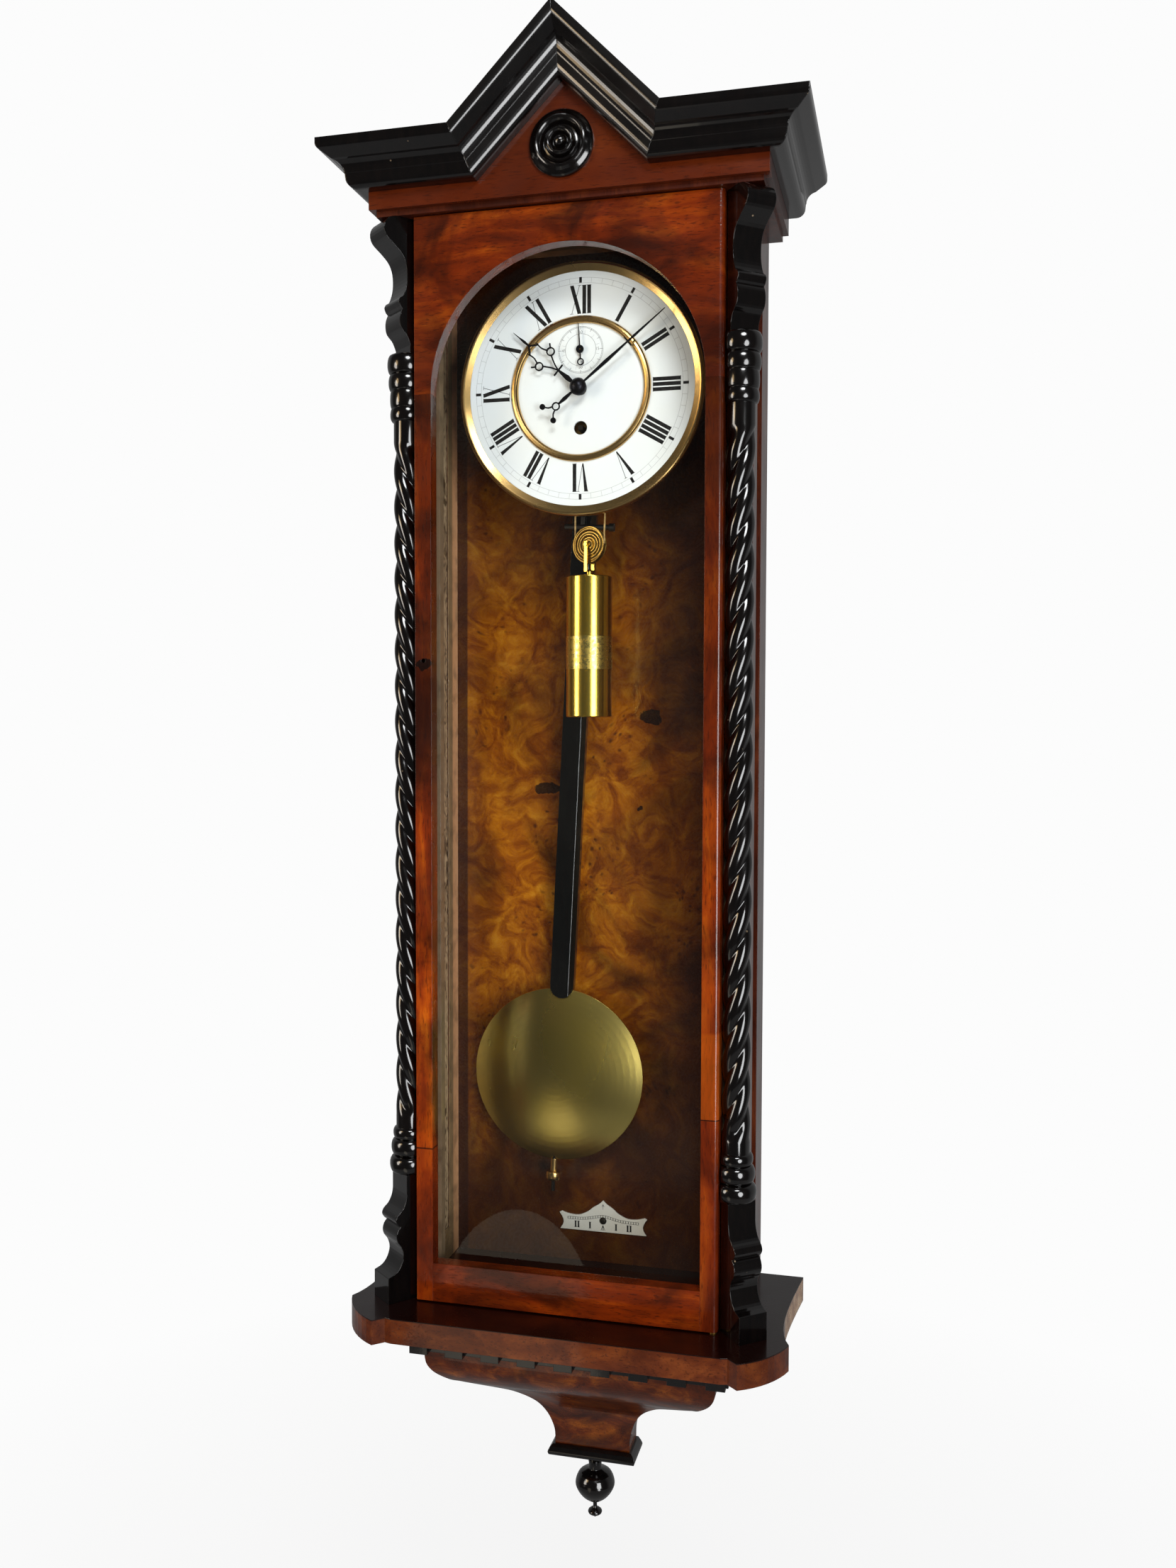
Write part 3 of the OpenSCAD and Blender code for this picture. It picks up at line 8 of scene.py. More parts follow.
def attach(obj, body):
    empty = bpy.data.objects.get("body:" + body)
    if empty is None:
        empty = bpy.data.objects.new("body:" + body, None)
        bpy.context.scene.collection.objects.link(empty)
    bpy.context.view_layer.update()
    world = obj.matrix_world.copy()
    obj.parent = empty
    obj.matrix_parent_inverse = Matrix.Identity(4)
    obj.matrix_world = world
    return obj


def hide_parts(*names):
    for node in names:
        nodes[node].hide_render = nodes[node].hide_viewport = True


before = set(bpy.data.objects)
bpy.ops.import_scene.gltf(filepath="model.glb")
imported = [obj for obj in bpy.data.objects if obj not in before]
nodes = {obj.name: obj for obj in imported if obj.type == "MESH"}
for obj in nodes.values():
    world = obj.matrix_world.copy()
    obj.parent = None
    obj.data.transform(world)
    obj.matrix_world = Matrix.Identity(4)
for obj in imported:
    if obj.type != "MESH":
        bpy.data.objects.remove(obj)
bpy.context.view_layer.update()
scene = bpy.context.scene
mm = 0.001
print("clock frame loaded:", len(nodes), "parts")


# Camera: where the photographer stood, and how the camera was turned
camera = {
    "place": (0.2519, -1.0374, -0.3972),
    "lens": 30.76,  # mm, on a 36 mm sensor along the picture's height
    "yaw": 14.24,  # degrees to the left of straight at the wall
    "pitch": 2.534,  # degrees downwards
    "roll": 0.148,
}


def makeCamera(s):
    data = bpy.data.cameras.new("camera")
    data.lens = s["lens"]
    data.sensor_width = 36
    view = bpy.data.objects.new("camera", data)
    scene.collection.objects.link(view)
    turn = Matrix.Rotation(math.radians(s["yaw"]), 4, "Z")
    turn = turn @ Matrix.Rotation(math.radians(90 - s["pitch"]), 4, "X")
    turn = turn @ Matrix.Rotation(math.radians(s["roll"]), 4, "Z")
    view.matrix_world = Matrix.Translation(s["place"]) @ turn
    bpy.context.scene.camera = view


makeCamera(camera)


# sRGB hex to the linear values that a shader takes: below 0.04045 a division, above it a power
def linear(colour):
    c = np.array([int(colour[i : i + 2], 16) for i in (1, 3, 5)]) / 255
    c = np.where(c <= 0.04045, c / 12.92, ((c + 0.055) / 1.055) ** 2.4)
    return (*c.tolist(), 1.0)


# Adds a shader node with its settings and links. Inputs go by name, or in the order of the
# sockets in use: each is a number, a colour, a socket or a node, which gives its first output.
# A MapRange takes a value, the range it comes from and the one it goes to, and a Mix takes a
# share and two colours. Stops are a colour ramp's, as pairs of place and sRGB hex.
def addNode(tree, kind, inputs=(), stops=(), **settings):
    node = tree.nodes.new("ShaderNode" + kind)
    for name, value in settings.items():
        setattr(node, name, value)
    used = [socket for socket in node.inputs if socket.enabled]
    for key, value in inputs.items() if isinstance(inputs, dict) else enumerate(inputs):
        socket = node.inputs[key] if isinstance(key, str) else used[key]
        if isinstance(value, bpy.types.Node):
            value = next(output for output in value.outputs if output.enabled)
        if isinstance(value, bpy.types.NodeSocket):
            tree.links.new(value, socket)
        else:
            socket.default_value = value
    if stops:
        points = node.color_ramp.elements
        for place, colour in stops[1:-1]:
            points.new(place).color = linear(colour)
        for end in (0, -1):
            points[end].position, points[end].color = stops[end][0], linear(stops[end][1])
    return node


def newMaterial(name):
    material = bpy.data.materials.new(name)
    material.use_nodes = True
    material.node_tree.nodes.clear()
    return material, material.node_tree


# Pattern coordinates in metres, stretched by the given factors and then moved
def placed(tree, stretch=(1, 1, 1), move=(0, 0, 0)):
    where = addNode(tree, "TexCoord").outputs["Object"]
    return addNode(tree, "Mapping", {"Vector": where, "Location": move, "Scale": stretch})


# A principled surface. The bevel rounds its arrises by the edge radius, as a polished edge is.
def surface(tree, given, bump=None, strength=0.1, depth=0.0005, edge=0.0006):
    normal = addNode(tree, "Bevel", {"Radius": edge}, samples=4)
    if bump is not None:
        raised = {"Height": bump, "Strength": strength, "Distance": depth, "Normal": normal}
        normal = addNode(tree, "Bump", raised)
    coat = {"Coat Normal": normal} if "Coat Weight" in given else {}
    shader = addNode(tree, "BsdfPrincipled", {**given, **coat, "Normal": normal})
    addNode(tree, "OutputMaterial", {"Surface": shader})


# Walnut and mahogany veneer under shellac: brown cloudy figure, dark pores along the grain and
# a hard gloss that waves a little. The grain runs along the axis with the smallest stretch.
def veneer(name, s):
    material, tree = newMaterial(name)
    move = s.get("move", (0, 0, 0))
    along = placed(tree, s["stretch"], move)
    plain = placed(tree, (1, 1, 1), move)
    here = placed(tree)
    dark = linear(s["dark"])
    drift = addNode(tree, "TexNoise", {"Vector": plain, "Scale": 11, "Detail": 3}).outputs["Color"]
    bent = addNode(tree, "VectorMath", (drift, (s["warp"],) * 3, along), operation="MULTIPLY_ADD")
    figure = addNode(tree, "TexNoise", {"Vector": bent, "Scale": s["figure"], "Detail": 7,
        "Roughness": 0.62, "Distortion": 0.6})
    colour = addNode(tree, "ValToRGB", (figure,), s["colours"])
    cloud = addNode(tree, "TexNoise", {"Vector": plain, "Scale": s["cloud"], "Detail": 4,
        "Distortion": 1.2})
    shade = addNode(tree, "MapRange", (cloud, 0.42, 0.66, 0, s["clouding"]))
    colour = addNode(tree, "Mix", (shade, colour, dark), data_type="RGBA")
    pores = addNode(tree, "TexNoise", {"Vector": along, "Scale": s["pores"], "Detail": 2})
    pore = addNode(tree, "MapRange", (pores, 0.56, 0.7, 0, 0.55))
    colour = addNode(tree, "Mix", (pore, colour, dark), data_type="RGBA")
    # Painted shade: the stiles darken towards the top of the door, between the two given heights
    if "topShade" in s:
        low, high, strength = s["topShade"]
        z = addNode(tree, "SeparateXYZ", (here,)).outputs["Z"]
        shade = addNode(tree, "MapRange", (z, low, high, 0, strength))
        colour = addNode(tree, "Mix", (shade, colour, dark), data_type="RGBA")
    for band in s.get("bands", ()):
        colour = veneerBand(tree, colour, here, band)
    for chip in s.get("chips", ()):
        colour = veneerChip(tree, colour, here, chip, s["lost"])
    if "rawEnds" in s:
        colour = rawEnds(tree, colour, here, s["rawEnds"])
    if "lining" in s:
        colour = sideLining(tree, colour, here, s["lining"])
    haze = addNode(tree, "TexNoise", {"Vector": plain, "Scale": 30, "Detail": 5})
    rough = addNode(tree, "MapRange", (haze, 0.3, 0.75, s["gloss"], s["gloss"] + 0.14))
    wave = addNode(tree, "Math", (pore, -0.35, haze), operation="MULTIPLY_ADD")
    surface(tree, {"Base Color": colour, "Roughness": rough, "Specular IOR Level": 0.2,
        "Coat Weight": 0.6, "Coat Roughness": 0.06}, wave, 0.16, 0.0006)
    return material


# Tints the height between two levels: on the stiles a strip of veneer that was let in later,
# its dark joint and a stain; on the top rail and the plinth's top it is painted shade.
def veneerBand(tree, colour, where, band):
    z = addNode(tree, "SeparateXYZ", (where,)).outputs["Z"]
    low, high, soft = band["low"], band["high"], band["soft"]
    up = addNode(tree, "MapRange", (z, low - soft, low + soft, 0, 1))
    down = addNode(tree, "MapRange", (z, high - soft, high + soft, band["strength"], 0))
    inside = addNode(tree, "Math", (up, down), operation="MULTIPLY")
    return addNode(tree, "Mix", (inside, colour, linear(band["colour"])), data_type="RGBA")


# The back of each end was never veneered: pale softwood between the sunk sweep and the wall
def rawEnds(tree, colour, where, s):
    apart = addNode(tree, "SeparateXYZ", (where,))
    y, z = apart.outputs["Y"], apart.outputs["Z"]
    x = addNode(tree, "Math", (apart.outputs["X"],), operation="ABSOLUTE")
    inside = addNode(tree, "MapRange", (x, s["across"], s["across"] + 0.0006, 0, 1))
    limits = [(y, s["front"], s["front"] + 0.0006, 0, 1), (z, s["high"] - 0.0002, s["high"], 1, 0),
        (z, s["low"], s["low"] + 0.0002, 0, 1)]
    for limit in limits:
        within = addNode(tree, "MapRange", limit)
        inside = addNode(tree, "Math", (inside, within), operation="MULTIPLY")
    grain = addNode(tree, "TexNoise", {"Vector": where, "Scale": 120, "Detail": 6})
    bare = addNode(tree, "ValToRGB", (grain,), s["tones"])
    return addNode(tree, "Mix", (inside, colour, bare), data_type="RGBA")


# Inside of the case's sides: bare wood gone grey-green, with a pale strip at the back corner
def sideLining(tree, colour, where, s):
    apart = addNode(tree, "SeparateXYZ", (where,))
    x = addNode(tree, "Math", (apart.outputs["X"],), operation="ABSOLUTE")
    inward = addNode(tree, "MapRange", (apart.outputs["Y"], *s["depth"], 0, 1))
    stain = addNode(tree, "ValToRGB", (inward,), s["tones"])
    speckle = addNode(tree, "TexNoise", {"Vector": where, "Scale": 90, "Detail": 4})
    grimy = addNode(tree, "MapRange", (speckle, 0.45, 0.7, 0, 0.45))
    stain = addNode(tree, "Mix", (grimy, stain, linear(s["grime"])), data_type="RGBA")
    inside = addNode(tree, "MapRange", (x, s["face"], s["face"] + 0.0004, 1, 0))
    behind = addNode(tree, "MapRange", (apart.outputs["Y"], *s["front"], 0, 1))
    inside = addNode(tree, "Math", (inside, behind), operation="MULTIPLY")
    return addNode(tree, "Mix", (inside, colour, stain), data_type="RGBA")


# A place where the veneer has come away: a ragged patch within a distance of its middle
def veneerChip(tree, colour, where, chip, lost):
    x, z, wide, high = chip
    ragged = (0.011, 0, 0.009)
    middle = (x + ragged[0] / 2, -0.011, z + ragged[2] / 2)
    rough = addNode(tree, "TexNoise", {"Vector": where, "Scale": 160, "Detail": 3}).outputs["Color"]
    away = addNode(tree, "VectorMath", (rough, ragged, where), operation="MULTIPLY_ADD")
    away = addNode(tree, "VectorMath", (away, middle), operation="SUBTRACT")
    away = addNode(tree, "VectorMath", (away, (1 / wide, 0, 1 / high)), operation="MULTIPLY")
    away = addNode(tree, "VectorMath", (away,), operation="LENGTH")
    gone = addNode(tree, "MapRange", (away, 0.9, 1, 0.92, 0))
    return addNode(tree, "Mix", (gone, colour, linear(lost)), data_type="RGBA")


doorVeneer = {
    "colours": [(0.3, "#5c1c03"), (0.48, "#862e03"), (0.6, "#a54505"), (0.74, "#c4640e")],
    "dark": "#240902",
    "stretch": (1, 1, 0.16),
    "warp": 0.02,
    "figure": 60,
    "cloud": 15,
    "clouding": 0.85,
    "pores": 900,
    "gloss": 0.2,
}
woods = {
    "leftStile": veneer("shellacWalnutLeftStile", {**doorVeneer,
        "topShade": (-0.56, -0.14, 0.72),  # from, to, strength
        "lost": "#0b0302",
        "chips": [(-0.1066, -0.3534, 0.0075, 0.004)],  # middle x and z, half width and height
        "bands": [
            {"low": -0.44, "high": -0.33, "soft": 0.035, "strength": 0.85, "colour": "#1c0602"},
            {"low": -0.7124, "high": -0.7112, "soft": 0.0003, "strength": 0.85, "colour": "#120502"},
            {"low": -0.83, "high": -0.712, "soft": 0.001, "strength": 0.25, "colour": "#5a1c06"}]}),
    "rightStile": veneer("shellacWalnutRightStile", {**doorVeneer,
        "topShade": (-0.56, -0.14, 0.85),
        "clouding": 0.7,
        "colours": [(0.3, "#4c1602"), (0.48, "#742603"), (0.6, "#923a04"), (0.74, "#b0560a")],
        "move": (0.9, 0, 0.33),
        "bands": [
            {"low": -0.6748, "high": -0.6137, "soft": 0.0012, "strength": 0.4, "colour": "#a34c08"},
            {"low": -0.6754, "high": -0.6745, "soft": 0.0002, "strength": 0.9, "colour": "#160603"},
            {"low": -0.83, "high": -0.6754, "soft": 0.001, "strength": 0.3, "colour": "#4a1406"}]}),
    "railWalnut": veneer("shellacWalnutRail", {**doorVeneer,
        "stretch": (0.2, 1, 1),
        "colours": [(0.3, "#4e1703"), (0.48, "#6e2403"), (0.6, "#863404"), (0.74, "#a24c0a")],
        "move": (0.3, 0, 0.1),
        # painted shade: the rail darkens low down, carrying on the stiles' painted shade at the top
        "bands": [
            {"low": -0.3, "high": -0.1, "soft": 0.05, "strength": 0.5, "colour": "#2a0b03"}]}),
    "caseWalnut": veneer("shellacWalnutCase", {**doorVeneer,
        "clouding": 0.6,
        "figure": 45,
        "colours": [(0.3, "#2c0f06"), (0.5, "#43180a"), (0.72, "#5c2810")],
        "gloss": 0.26,
        "lining": {
            "face": 0.1177,  # the sides' inner faces, left and right of the middle
            "front": (-0.0952, -0.0948),
            "depth": (-0.07, -0.01),
            "grime": "#2c2418",
            "tones": [(0.0, "#7d6a52"), (0.56, "#8c7350"), (0.76, "#8f7452"), (0.8, "#d09a6c"),
                (1.0, "#e0aa7c")]}}),
    "friezeWalnut": veneer("shellacWalnutFrieze", {**doorVeneer,
        "stretch": (0.12, 1, 1),
        "figure": 34,
        "clouding": 0.35,
        "cloud": 9,
        "colours": [(0.3, "#421403"), (0.5, "#531c04"), (0.7, "#652806")],
        "gloss": 0.24}),
    "plinthWalnut": veneer("shellacWalnutPlinth", {**doorVeneer,
        "stretch": (0.5, 1, 1),
        "figure": 55,
        "cloud": 12,
        "clouding": 0.5,
        "move": (0.7, 0, 0.4),
        "colours": [(0.3, "#3c1305"), (0.5, "#582509"), (0.7, "#763a12")],
        "gloss": 0.24,
        # painted shade: the plinth's flat top is painted near black
        "bands": [{"low": -0.8282, "high": -0.82, "soft": 0.0003, "strength": 1, "colour": "#150301"}],
        "rawEnds": {"across": 0.1372, "front": -0.078, "low": -0.8455, "high": -0.8282,
            "tones": [(0.3, "#6e4a30"), (0.5, "#a17a58"), (0.7, "#c4a684")]}}),
    "apronWalnut": veneer("shellacWalnutApron", {**doorVeneer,
        "stretch": (0.6, 1, 1),
        "figure": 80,
        "cloud": 22,
        "clouding": 0.75,
        "warp": 0.05,
        "move": (1.7, 0, 0.9),
        "colours": [(0.3, "#301003"), (0.5, "#521f04"), (0.72, "#7c3f06")],
        "gloss": 0.24}),
}


# Burr walnut veneer: golden swirls with dark eyes. Painted light round the middle of the panel
# and painted shade towards its ends. The back of the board is bare softwood, its grain upright.
def burrWalnut(s):
    material, tree = newMaterial("burrWalnutPanel")
    plain = placed(tree)
    dark = linear(s["dark"])
    drift = addNode(tree, "TexNoise", {"Vector": plain, "Scale": 13, "Detail": 4}).outputs["Color"]
    bent = addNode(tree, "VectorMath", (drift, (s["swirl"],) * 3, plain), operation="MULTIPLY_ADD")
    figure = addNode(tree, "TexNoise", {"Vector": bent, "Scale": 42, "Detail": 9,
        "Roughness": 0.66, "Distortion": 1.4})
    colour = addNode(tree, "ValToRGB", (figure,), s["colours"])
    eyes = addNode(tree, "TexVoronoi", {"Vector": bent, "Scale": 150})
    where = addNode(tree, "TexNoise", {"Vector": plain, "Scale": 17, "Detail": 3})
    dot = addNode(tree, "MapRange", (eyes, 0.1, 0.3, 0.8, 0))
    near = addNode(tree, "MapRange", (where, 0.52, 0.62, 0, 1))
    eye = addNode(tree, "Math", (dot, near), operation="MULTIPLY")
    colour = addNode(tree, "Mix", (eye, colour, linear(s["eye"])), data_type="RGBA")
    cloud = addNode(tree, "TexNoise", {"Vector": plain, "Scale": 8, "Detail": 5, "Distortion": 1.5})
    shade = addNode(tree, "MapRange", (cloud, 0.45, 0.68, 0, 0.75))
    colour = addNode(tree, "Mix", (shade, colour, dark), data_type="RGBA")
    # Painted light and shade: bright near the middle, darker, raggedly, the farther from it
    apart = addNode(tree, "VectorMath", (plain, s["middle"]), operation="SUBTRACT")
    shrink = (1 / s["reach"][0], 0, 1 / s["reach"][1])
    apart = addNode(tree, "VectorMath", (apart, shrink), operation="MULTIPLY")
    away = addNode(tree, "VectorMath", (apart,), operation="LENGTH")
    ragged = addNode(tree, "Math", (cloud, 0.9, away), operation="MULTIPLY_ADD")
    shade = addNode(tree, "MapRange", (ragged, 0.7, 1.9, 0, 0.9))
    colour = addNode(tree, "Mix", (shade, colour, dark), data_type="RGBA")
    spot = addNode(tree, "SeparateXYZ", (plain,))
    x = addNode(tree, "Math", (spot.outputs["X"],), operation="ABSOLUTE")
    beside = addNode(tree, "MapRange", (x, *s["border"], 0, 0.8))
    colour = addNode(tree, "Mix", (beside, colour, linear(s["edge"])), data_type="RGBA")
    for chip in s["chips"]:
        colour = veneerChip(tree, colour, plain, chip, s["lost"])
    streak = addNode(tree, "TexNoise", {"Vector": placed(tree, (1, 1, 0.06)), "Scale": 70, "Detail": 6})
    behind = addNode(tree, "MapRange", (spot.outputs["Y"], *s["veneerBack"], 0, 1))
    bare = addNode(tree, "ValToRGB", (streak,), s["bare"])
    colour = addNode(tree, "Mix", (behind, colour, bare), data_type="RGBA")
    fine = addNode(tree, "TexNoise", {"Vector": bent, "Scale": 420, "Detail": 3})
    rough = addNode(tree, "MapRange", (fine, 0.3, 0.7, 0.2, 0.36))
    surface(tree, {"Base Color": colour, "Roughness": rough, "Specular IOR Level": 0.2,
        "Coat Weight": 0.3, "Coat Roughness": 0.1}, fine, 0.12, 0.0004)
    return material


burr = {
    "colours": [(0.28, "#5e2404"), (0.44, "#8e4806"), (0.56, "#b0660b"), (0.72, "#d08a20")],
    "dark": "#260b03",
    "eye": "#3a1806",
    "edge": "#24100c",
    "border": (0.1085, 0.1095),  # where the dark edge begins, left and right of the middle
    "lost": "#150b08",
    "bare": [(0.3, "#7d5a38"), (0.5, "#9c7750"), (0.7, "#b08c62")],
    "veneerBack": (-0.0105, -0.0095),
    "chips": [(0.042, -0.391, 0.0095, 0.0062), (-0.041, -0.448, 0.0115, 0.005),
        (0.0347, -0.4624, 0.003, 0.002)],
    "swirl": 0.05,
    # middle and reach of the painted light; beyond them the painted shade deepens
    "middle": (-0.045, -0.011, -0.47),
    "reach": (0.1, 0.22),
}
woods["burrWalnut"] = burrWalnut(burr)


# Ebonised pearwood: black stain under many coats of shellac, deep gloss with faint brush
# waves, brown streaks in the grain and a few pale nicks down to the wood
def ebonisedPearwood(name, s):
    material, tree = newMaterial(name)
    plain = placed(tree)
    grain = addNode(tree, "TexNoise", {"Vector": placed(tree, s["stretch"]), "Scale": 240, "Detail": 4})
    colour = addNode(tree, "ValToRGB", (grain,), [(0.3, s["black"]), (0.75, s["brown"])])
    nicks = addNode(tree, "TexVoronoi", {"Vector": plain, "Scale": s["nicks"], "Randomness": 1})
    few = addNode(tree, "TexNoise", {"Vector": plain, "Scale": 23})
    nick = addNode(tree, "MapRange", (nicks, 0.05, 0.075, 1, 0))
    here = addNode(tree, "MapRange", (few, 0.6, 0.64, 0, 1))
    speck = addNode(tree, "Math", (nick, here), operation="MULTIPLY")
    colour = addNode(tree, "Mix", (speck, colour, linear(s["bare"])), data_type="RGBA")
    smear = addNode(tree, "TexNoise", {"Vector": plain, "Scale": 26, "Detail": 6})
    rough = addNode(tree, "MapRange", (smear, 0.3, 0.75, s["gloss"], s["gloss"] + 0.1))
    surface(tree, {"Base Color": colour, "Roughness": rough, "Coat Weight": s["polish"],
        "Coat Roughness": s["coat"], "IOR": 1.5}, smear, s["wave"], 0.0008, s["edge"])
    return material


ebony = {
    "black": "#030202",
    "brown": "#0a0605",
    "bare": "#8d7a62",
    "stretch": (1, 1, 0.2),
    "nicks": 90,
    "gloss": 0.1,
    "polish": 0.6,
    "coat": 0.04,  # roughness of the polish
    "wave": 0.14,
    "edge": 0.0007,
}
woods["ebonised"] = ebonisedPearwood("ebonisedPearwood", ebony)
woods["ebonisedTwist"] = ebonisedPearwood("ebonisedPearwoodTwist", {**ebony, "edge": 0.0002})
woods["ebonisedRake"] = ebonisedPearwood("ebonisedPearwoodRake", {**ebony, "gloss": 0.24,
    "coat": 0.15, "polish": 1, "wave": 0.05})
woods["ebonisedRod"] = ebonisedPearwood("ebonisedRod", {**ebony, "black": "#030303",
    "brown": "#080a08", "gloss": 0.12})


# Brass: yellow copper and zinc. How bright it is depends on age: the weight is buffed and
# lacquered, the bezel has browned and the bob has gone olive under its old lacquer. Turned
# brass has rings about a centre, which rise and fall as a sine of the distance.
def brass(name, s):
    material, tree = newMaterial(name)
    plain = placed(tree)
    stain = addNode(tree, "TexNoise", {"Vector": plain, "Scale": s["stain"], "Detail": 5,
        "Distortion": 0.8})
    colour = addNode(tree, "ValToRGB", (stain,), [(0.35, s["bright"]), (0.7, s["dull"])])
    lines = addNode(tree, "TexNoise", {"Vector": placed(tree, s.get("brush", (1, 1, 1))), "Scale": 900})
    if "turned" in s:
        x, z, pitch = s["turned"]
        away = addNode(tree, "VectorMath", (plain, (x, 0, z)), operation="SUBTRACT")
        away = addNode(tree, "VectorMath", (away, (1, 0, 1)), operation="MULTIPLY")
        away = addNode(tree, "VectorMath", (away,), operation="LENGTH")
        ring = addNode(tree, "Math", (away, 2 * math.pi / pitch), operation="MULTIPLY")
        lines = addNode(tree, "Math", (ring,), operation="SINE")
    rough = addNode(tree, "MapRange", (stain, 0.3, 0.75, s["rough"], s["rough"] + s["patchy"]))
    surface(tree, {"Base Color": colour, "Metallic": 1.0, "Roughness": rough}, lines,
        s["lines"], s.get("depth", 0.0002), 0.0003)
    return material


metals = {
    "bezel": brass("agedBrassBezel", {"bright": "#d9b371", "dull": "#ab8755", "stain": 14,
        "rough": 0.2, "patchy": 0.14, "lines": 0.03}),
    "weight": brass("polishedBrassWeight", {"bright": "#f0cf58", "dull": "#d0a83c", "stain": 20,
        "brush": (1, 1, 0.02), "rough": 0.17, "patchy": 0.1, "lines": 0.05}),
    "bob": brass("lacqueredBrassBob", {"bright": "#dcc46f", "dull": "#bda651", "stain": 9,
        "rough": 0.22, "patchy": 0.1, "lines": 0.01}),
    "movement": brass("brushedBrassMovement", {"bright": "#b5934f", "dull": "#82693a", "stain": 40,
        "brush": (0.05, 1, 1), "rough": 0.28, "patchy": 0.14, "lines": 0.1}),
    "pulley": brass("antiqueBrassPulley", {"bright": "#b4934a", "dull": "#6f5527", "stain": 90,
        "rough": 0.24, "patchy": 0.16, "lines": 0.6, "depth": 0.0006,
        "turned": (0.0045, -0.263, 0.0042)}),  # centre x and z, from one ring to the next
    "tape": brass("tapedBrass", {"bright": "#f6df7e", "dull": "#c8a548", "stain": 300,
        "brush": (1, 1, 0.1), "rough": 0.18, "patchy": 0.25, "lines": 0.25}),
    "fittings": brass("oldBrassFittings", {"bright": "#a98545", "dull": "#5d4622", "stain": 60,
        "rough": 0.28, "patchy": 0.2, "lines": 0.06}),
}


# Iron and steel: blued steel hands are nearly black, the bracket is blacked iron
def darkMetal(name, colour, rough, metallic=1.0):
    material, tree = newMaterial(name)
    patch = addNode(tree, "TexNoise", {"Vector": placed(tree), "Scale": 120, "Detail": 4})
    darker = addNode(tree, "MapRange", (patch, 0.4, 0.7, 0, 0.3))
    tint = addNode(tree, "Mix", (darker, linear(colour), (0, 0, 0, 1)), data_type="RGBA")
    dull = addNode(tree, "MapRange", (patch, 0.3, 0.7, rough, rough + 0.12))
    surface(tree, {"Base Color": tint, "Metallic": metallic, "Roughness": dull}, patch, 0.08,
        0.0002, 0.0002)
    return material


metals["hands"] = darkMetal("bluedSteelHands", "#26262b", 0.3)
metals["steel"] = darkMetal("dullSteel", "#6b6a66", 0.34)
metals["arbor"] = darkMetal("dirtyArborSteel", "#35322c", 0.45)
metals["iron"] = darkMetal("blackedIron", "#1c1b1a", 0.42, 0.6)


# Vitreous enamel on copper: cool white glass, very smooth, a trace of cream in clouds
def whiteEnamel(name, colours):
    material, tree = newMaterial(name)
    age = addNode(tree, "TexNoise", {"Vector": placed(tree), "Scale": 26, "Detail": 4})
    colour = addNode(tree, "ValToRGB", (age,), [(0.35, colours[0]), (0.75, colours[1])])
    ripple = addNode(tree, "TexNoise", {"Vector": placed(tree), "Scale": 45})
    surface(tree, {"Base Color": colour, "Roughness": 0.16, "Coat Weight": 0.5,
        "Coat Roughness": 0.04}, ripple, 0.05, 0.0004)
    return material


enamel = whiteEnamel("vitreousEnamel", ("#f3f8f9", "#f3f6f1"))
scaleEnamel = whiteEnamel("enamelScale", ("#dcdad0", "#c9c4b4"))


# Fired enamel ink, black on the dial and a worn grey on the seconds ring and minute track
def ink(name, colour):
    material, tree = newMaterial(name)
    worn = addNode(tree, "TexNoise", {"Vector": placed(tree), "Scale": 700})
    paler = addNode(tree, "MapRange", (worn, 0.4, 0.8, 0, 0.25))
    tint = addNode(tree, "Mix", (paler, linear(colour), linear("#5a5752")), data_type="RGBA")
    surface(tree, {"Base Color": tint, "Roughness": 0.3}, edge=0.00002)
    return material


blackInk = ink("firedBlackInk", "#0c0c0e")
greyInk = ink("fadedGreyInk", "#8d8f90")
hairInk = ink("hairlineGreyInk", "#9a9c9c")


# Old crown glass: clear, drawn and slightly wavy, with a film of dust. It lets light and
# shadow through, so that the inside is lit, and only the near face of a pane mirrors the room.
def crownGlass(name, s):
    material, tree = newMaterial(name)
    wave = addNode(tree, "TexNoise", {"Vector": placed(tree, (1, 1, 0.3)), "Scale": 9})
    normal = addNode(tree, "Bump", {"Height": wave, "Strength": 0.1, "Distance": 0.002})
    gloss = addNode(tree, "BsdfGlossy", {"Color": (1, 1, 1, 1), "Roughness": 0.02, "Normal": normal})
    clear = addNode(tree, "BsdfTransparent", {"Color": linear(s["tint"])})
    film = addNode(tree, "BsdfDiffuse", {"Color": linear(s["dust"])})
    mirror = addNode(tree, "Fresnel", {"IOR": 1.45, "Normal": normal})
    far = addNode(tree, "NewGeometry").outputs["Backfacing"]
    near = addNode(tree, "MapRange", (far, 0, 1, 1, 0))
    mirror = addNode(tree, "Math", (mirror, near), operation="MULTIPLY")
    spots = addNode(tree, "TexNoise", {"Vector": placed(tree), "Scale": 12, "Detail": 6})
    dusty = addNode(tree, "MapRange", (spots, 0.4, 0.8, *s["film"]))
    pane = addNode(tree, "MixShader", (dusty, clear, film))
    shiny = addNode(tree, "MixShader", (mirror, pane, gloss))
    ray = addNode(tree, "LightPath").outputs
    lit = (ray["Is Shadow Ray"], ray["Is Diffuse Ray"])
    through = addNode(tree, "Math", lit, operation="MAXIMUM")
    addNode(tree, "OutputMaterial", (addNode(tree, "MixShader", (through, shiny, clear)),))
    return material


doorGlass = crownGlass("crownGlassDoor", {"tint": "#fdfefe", "dust": "#8d857a", "film": (0.0, 0.012)})
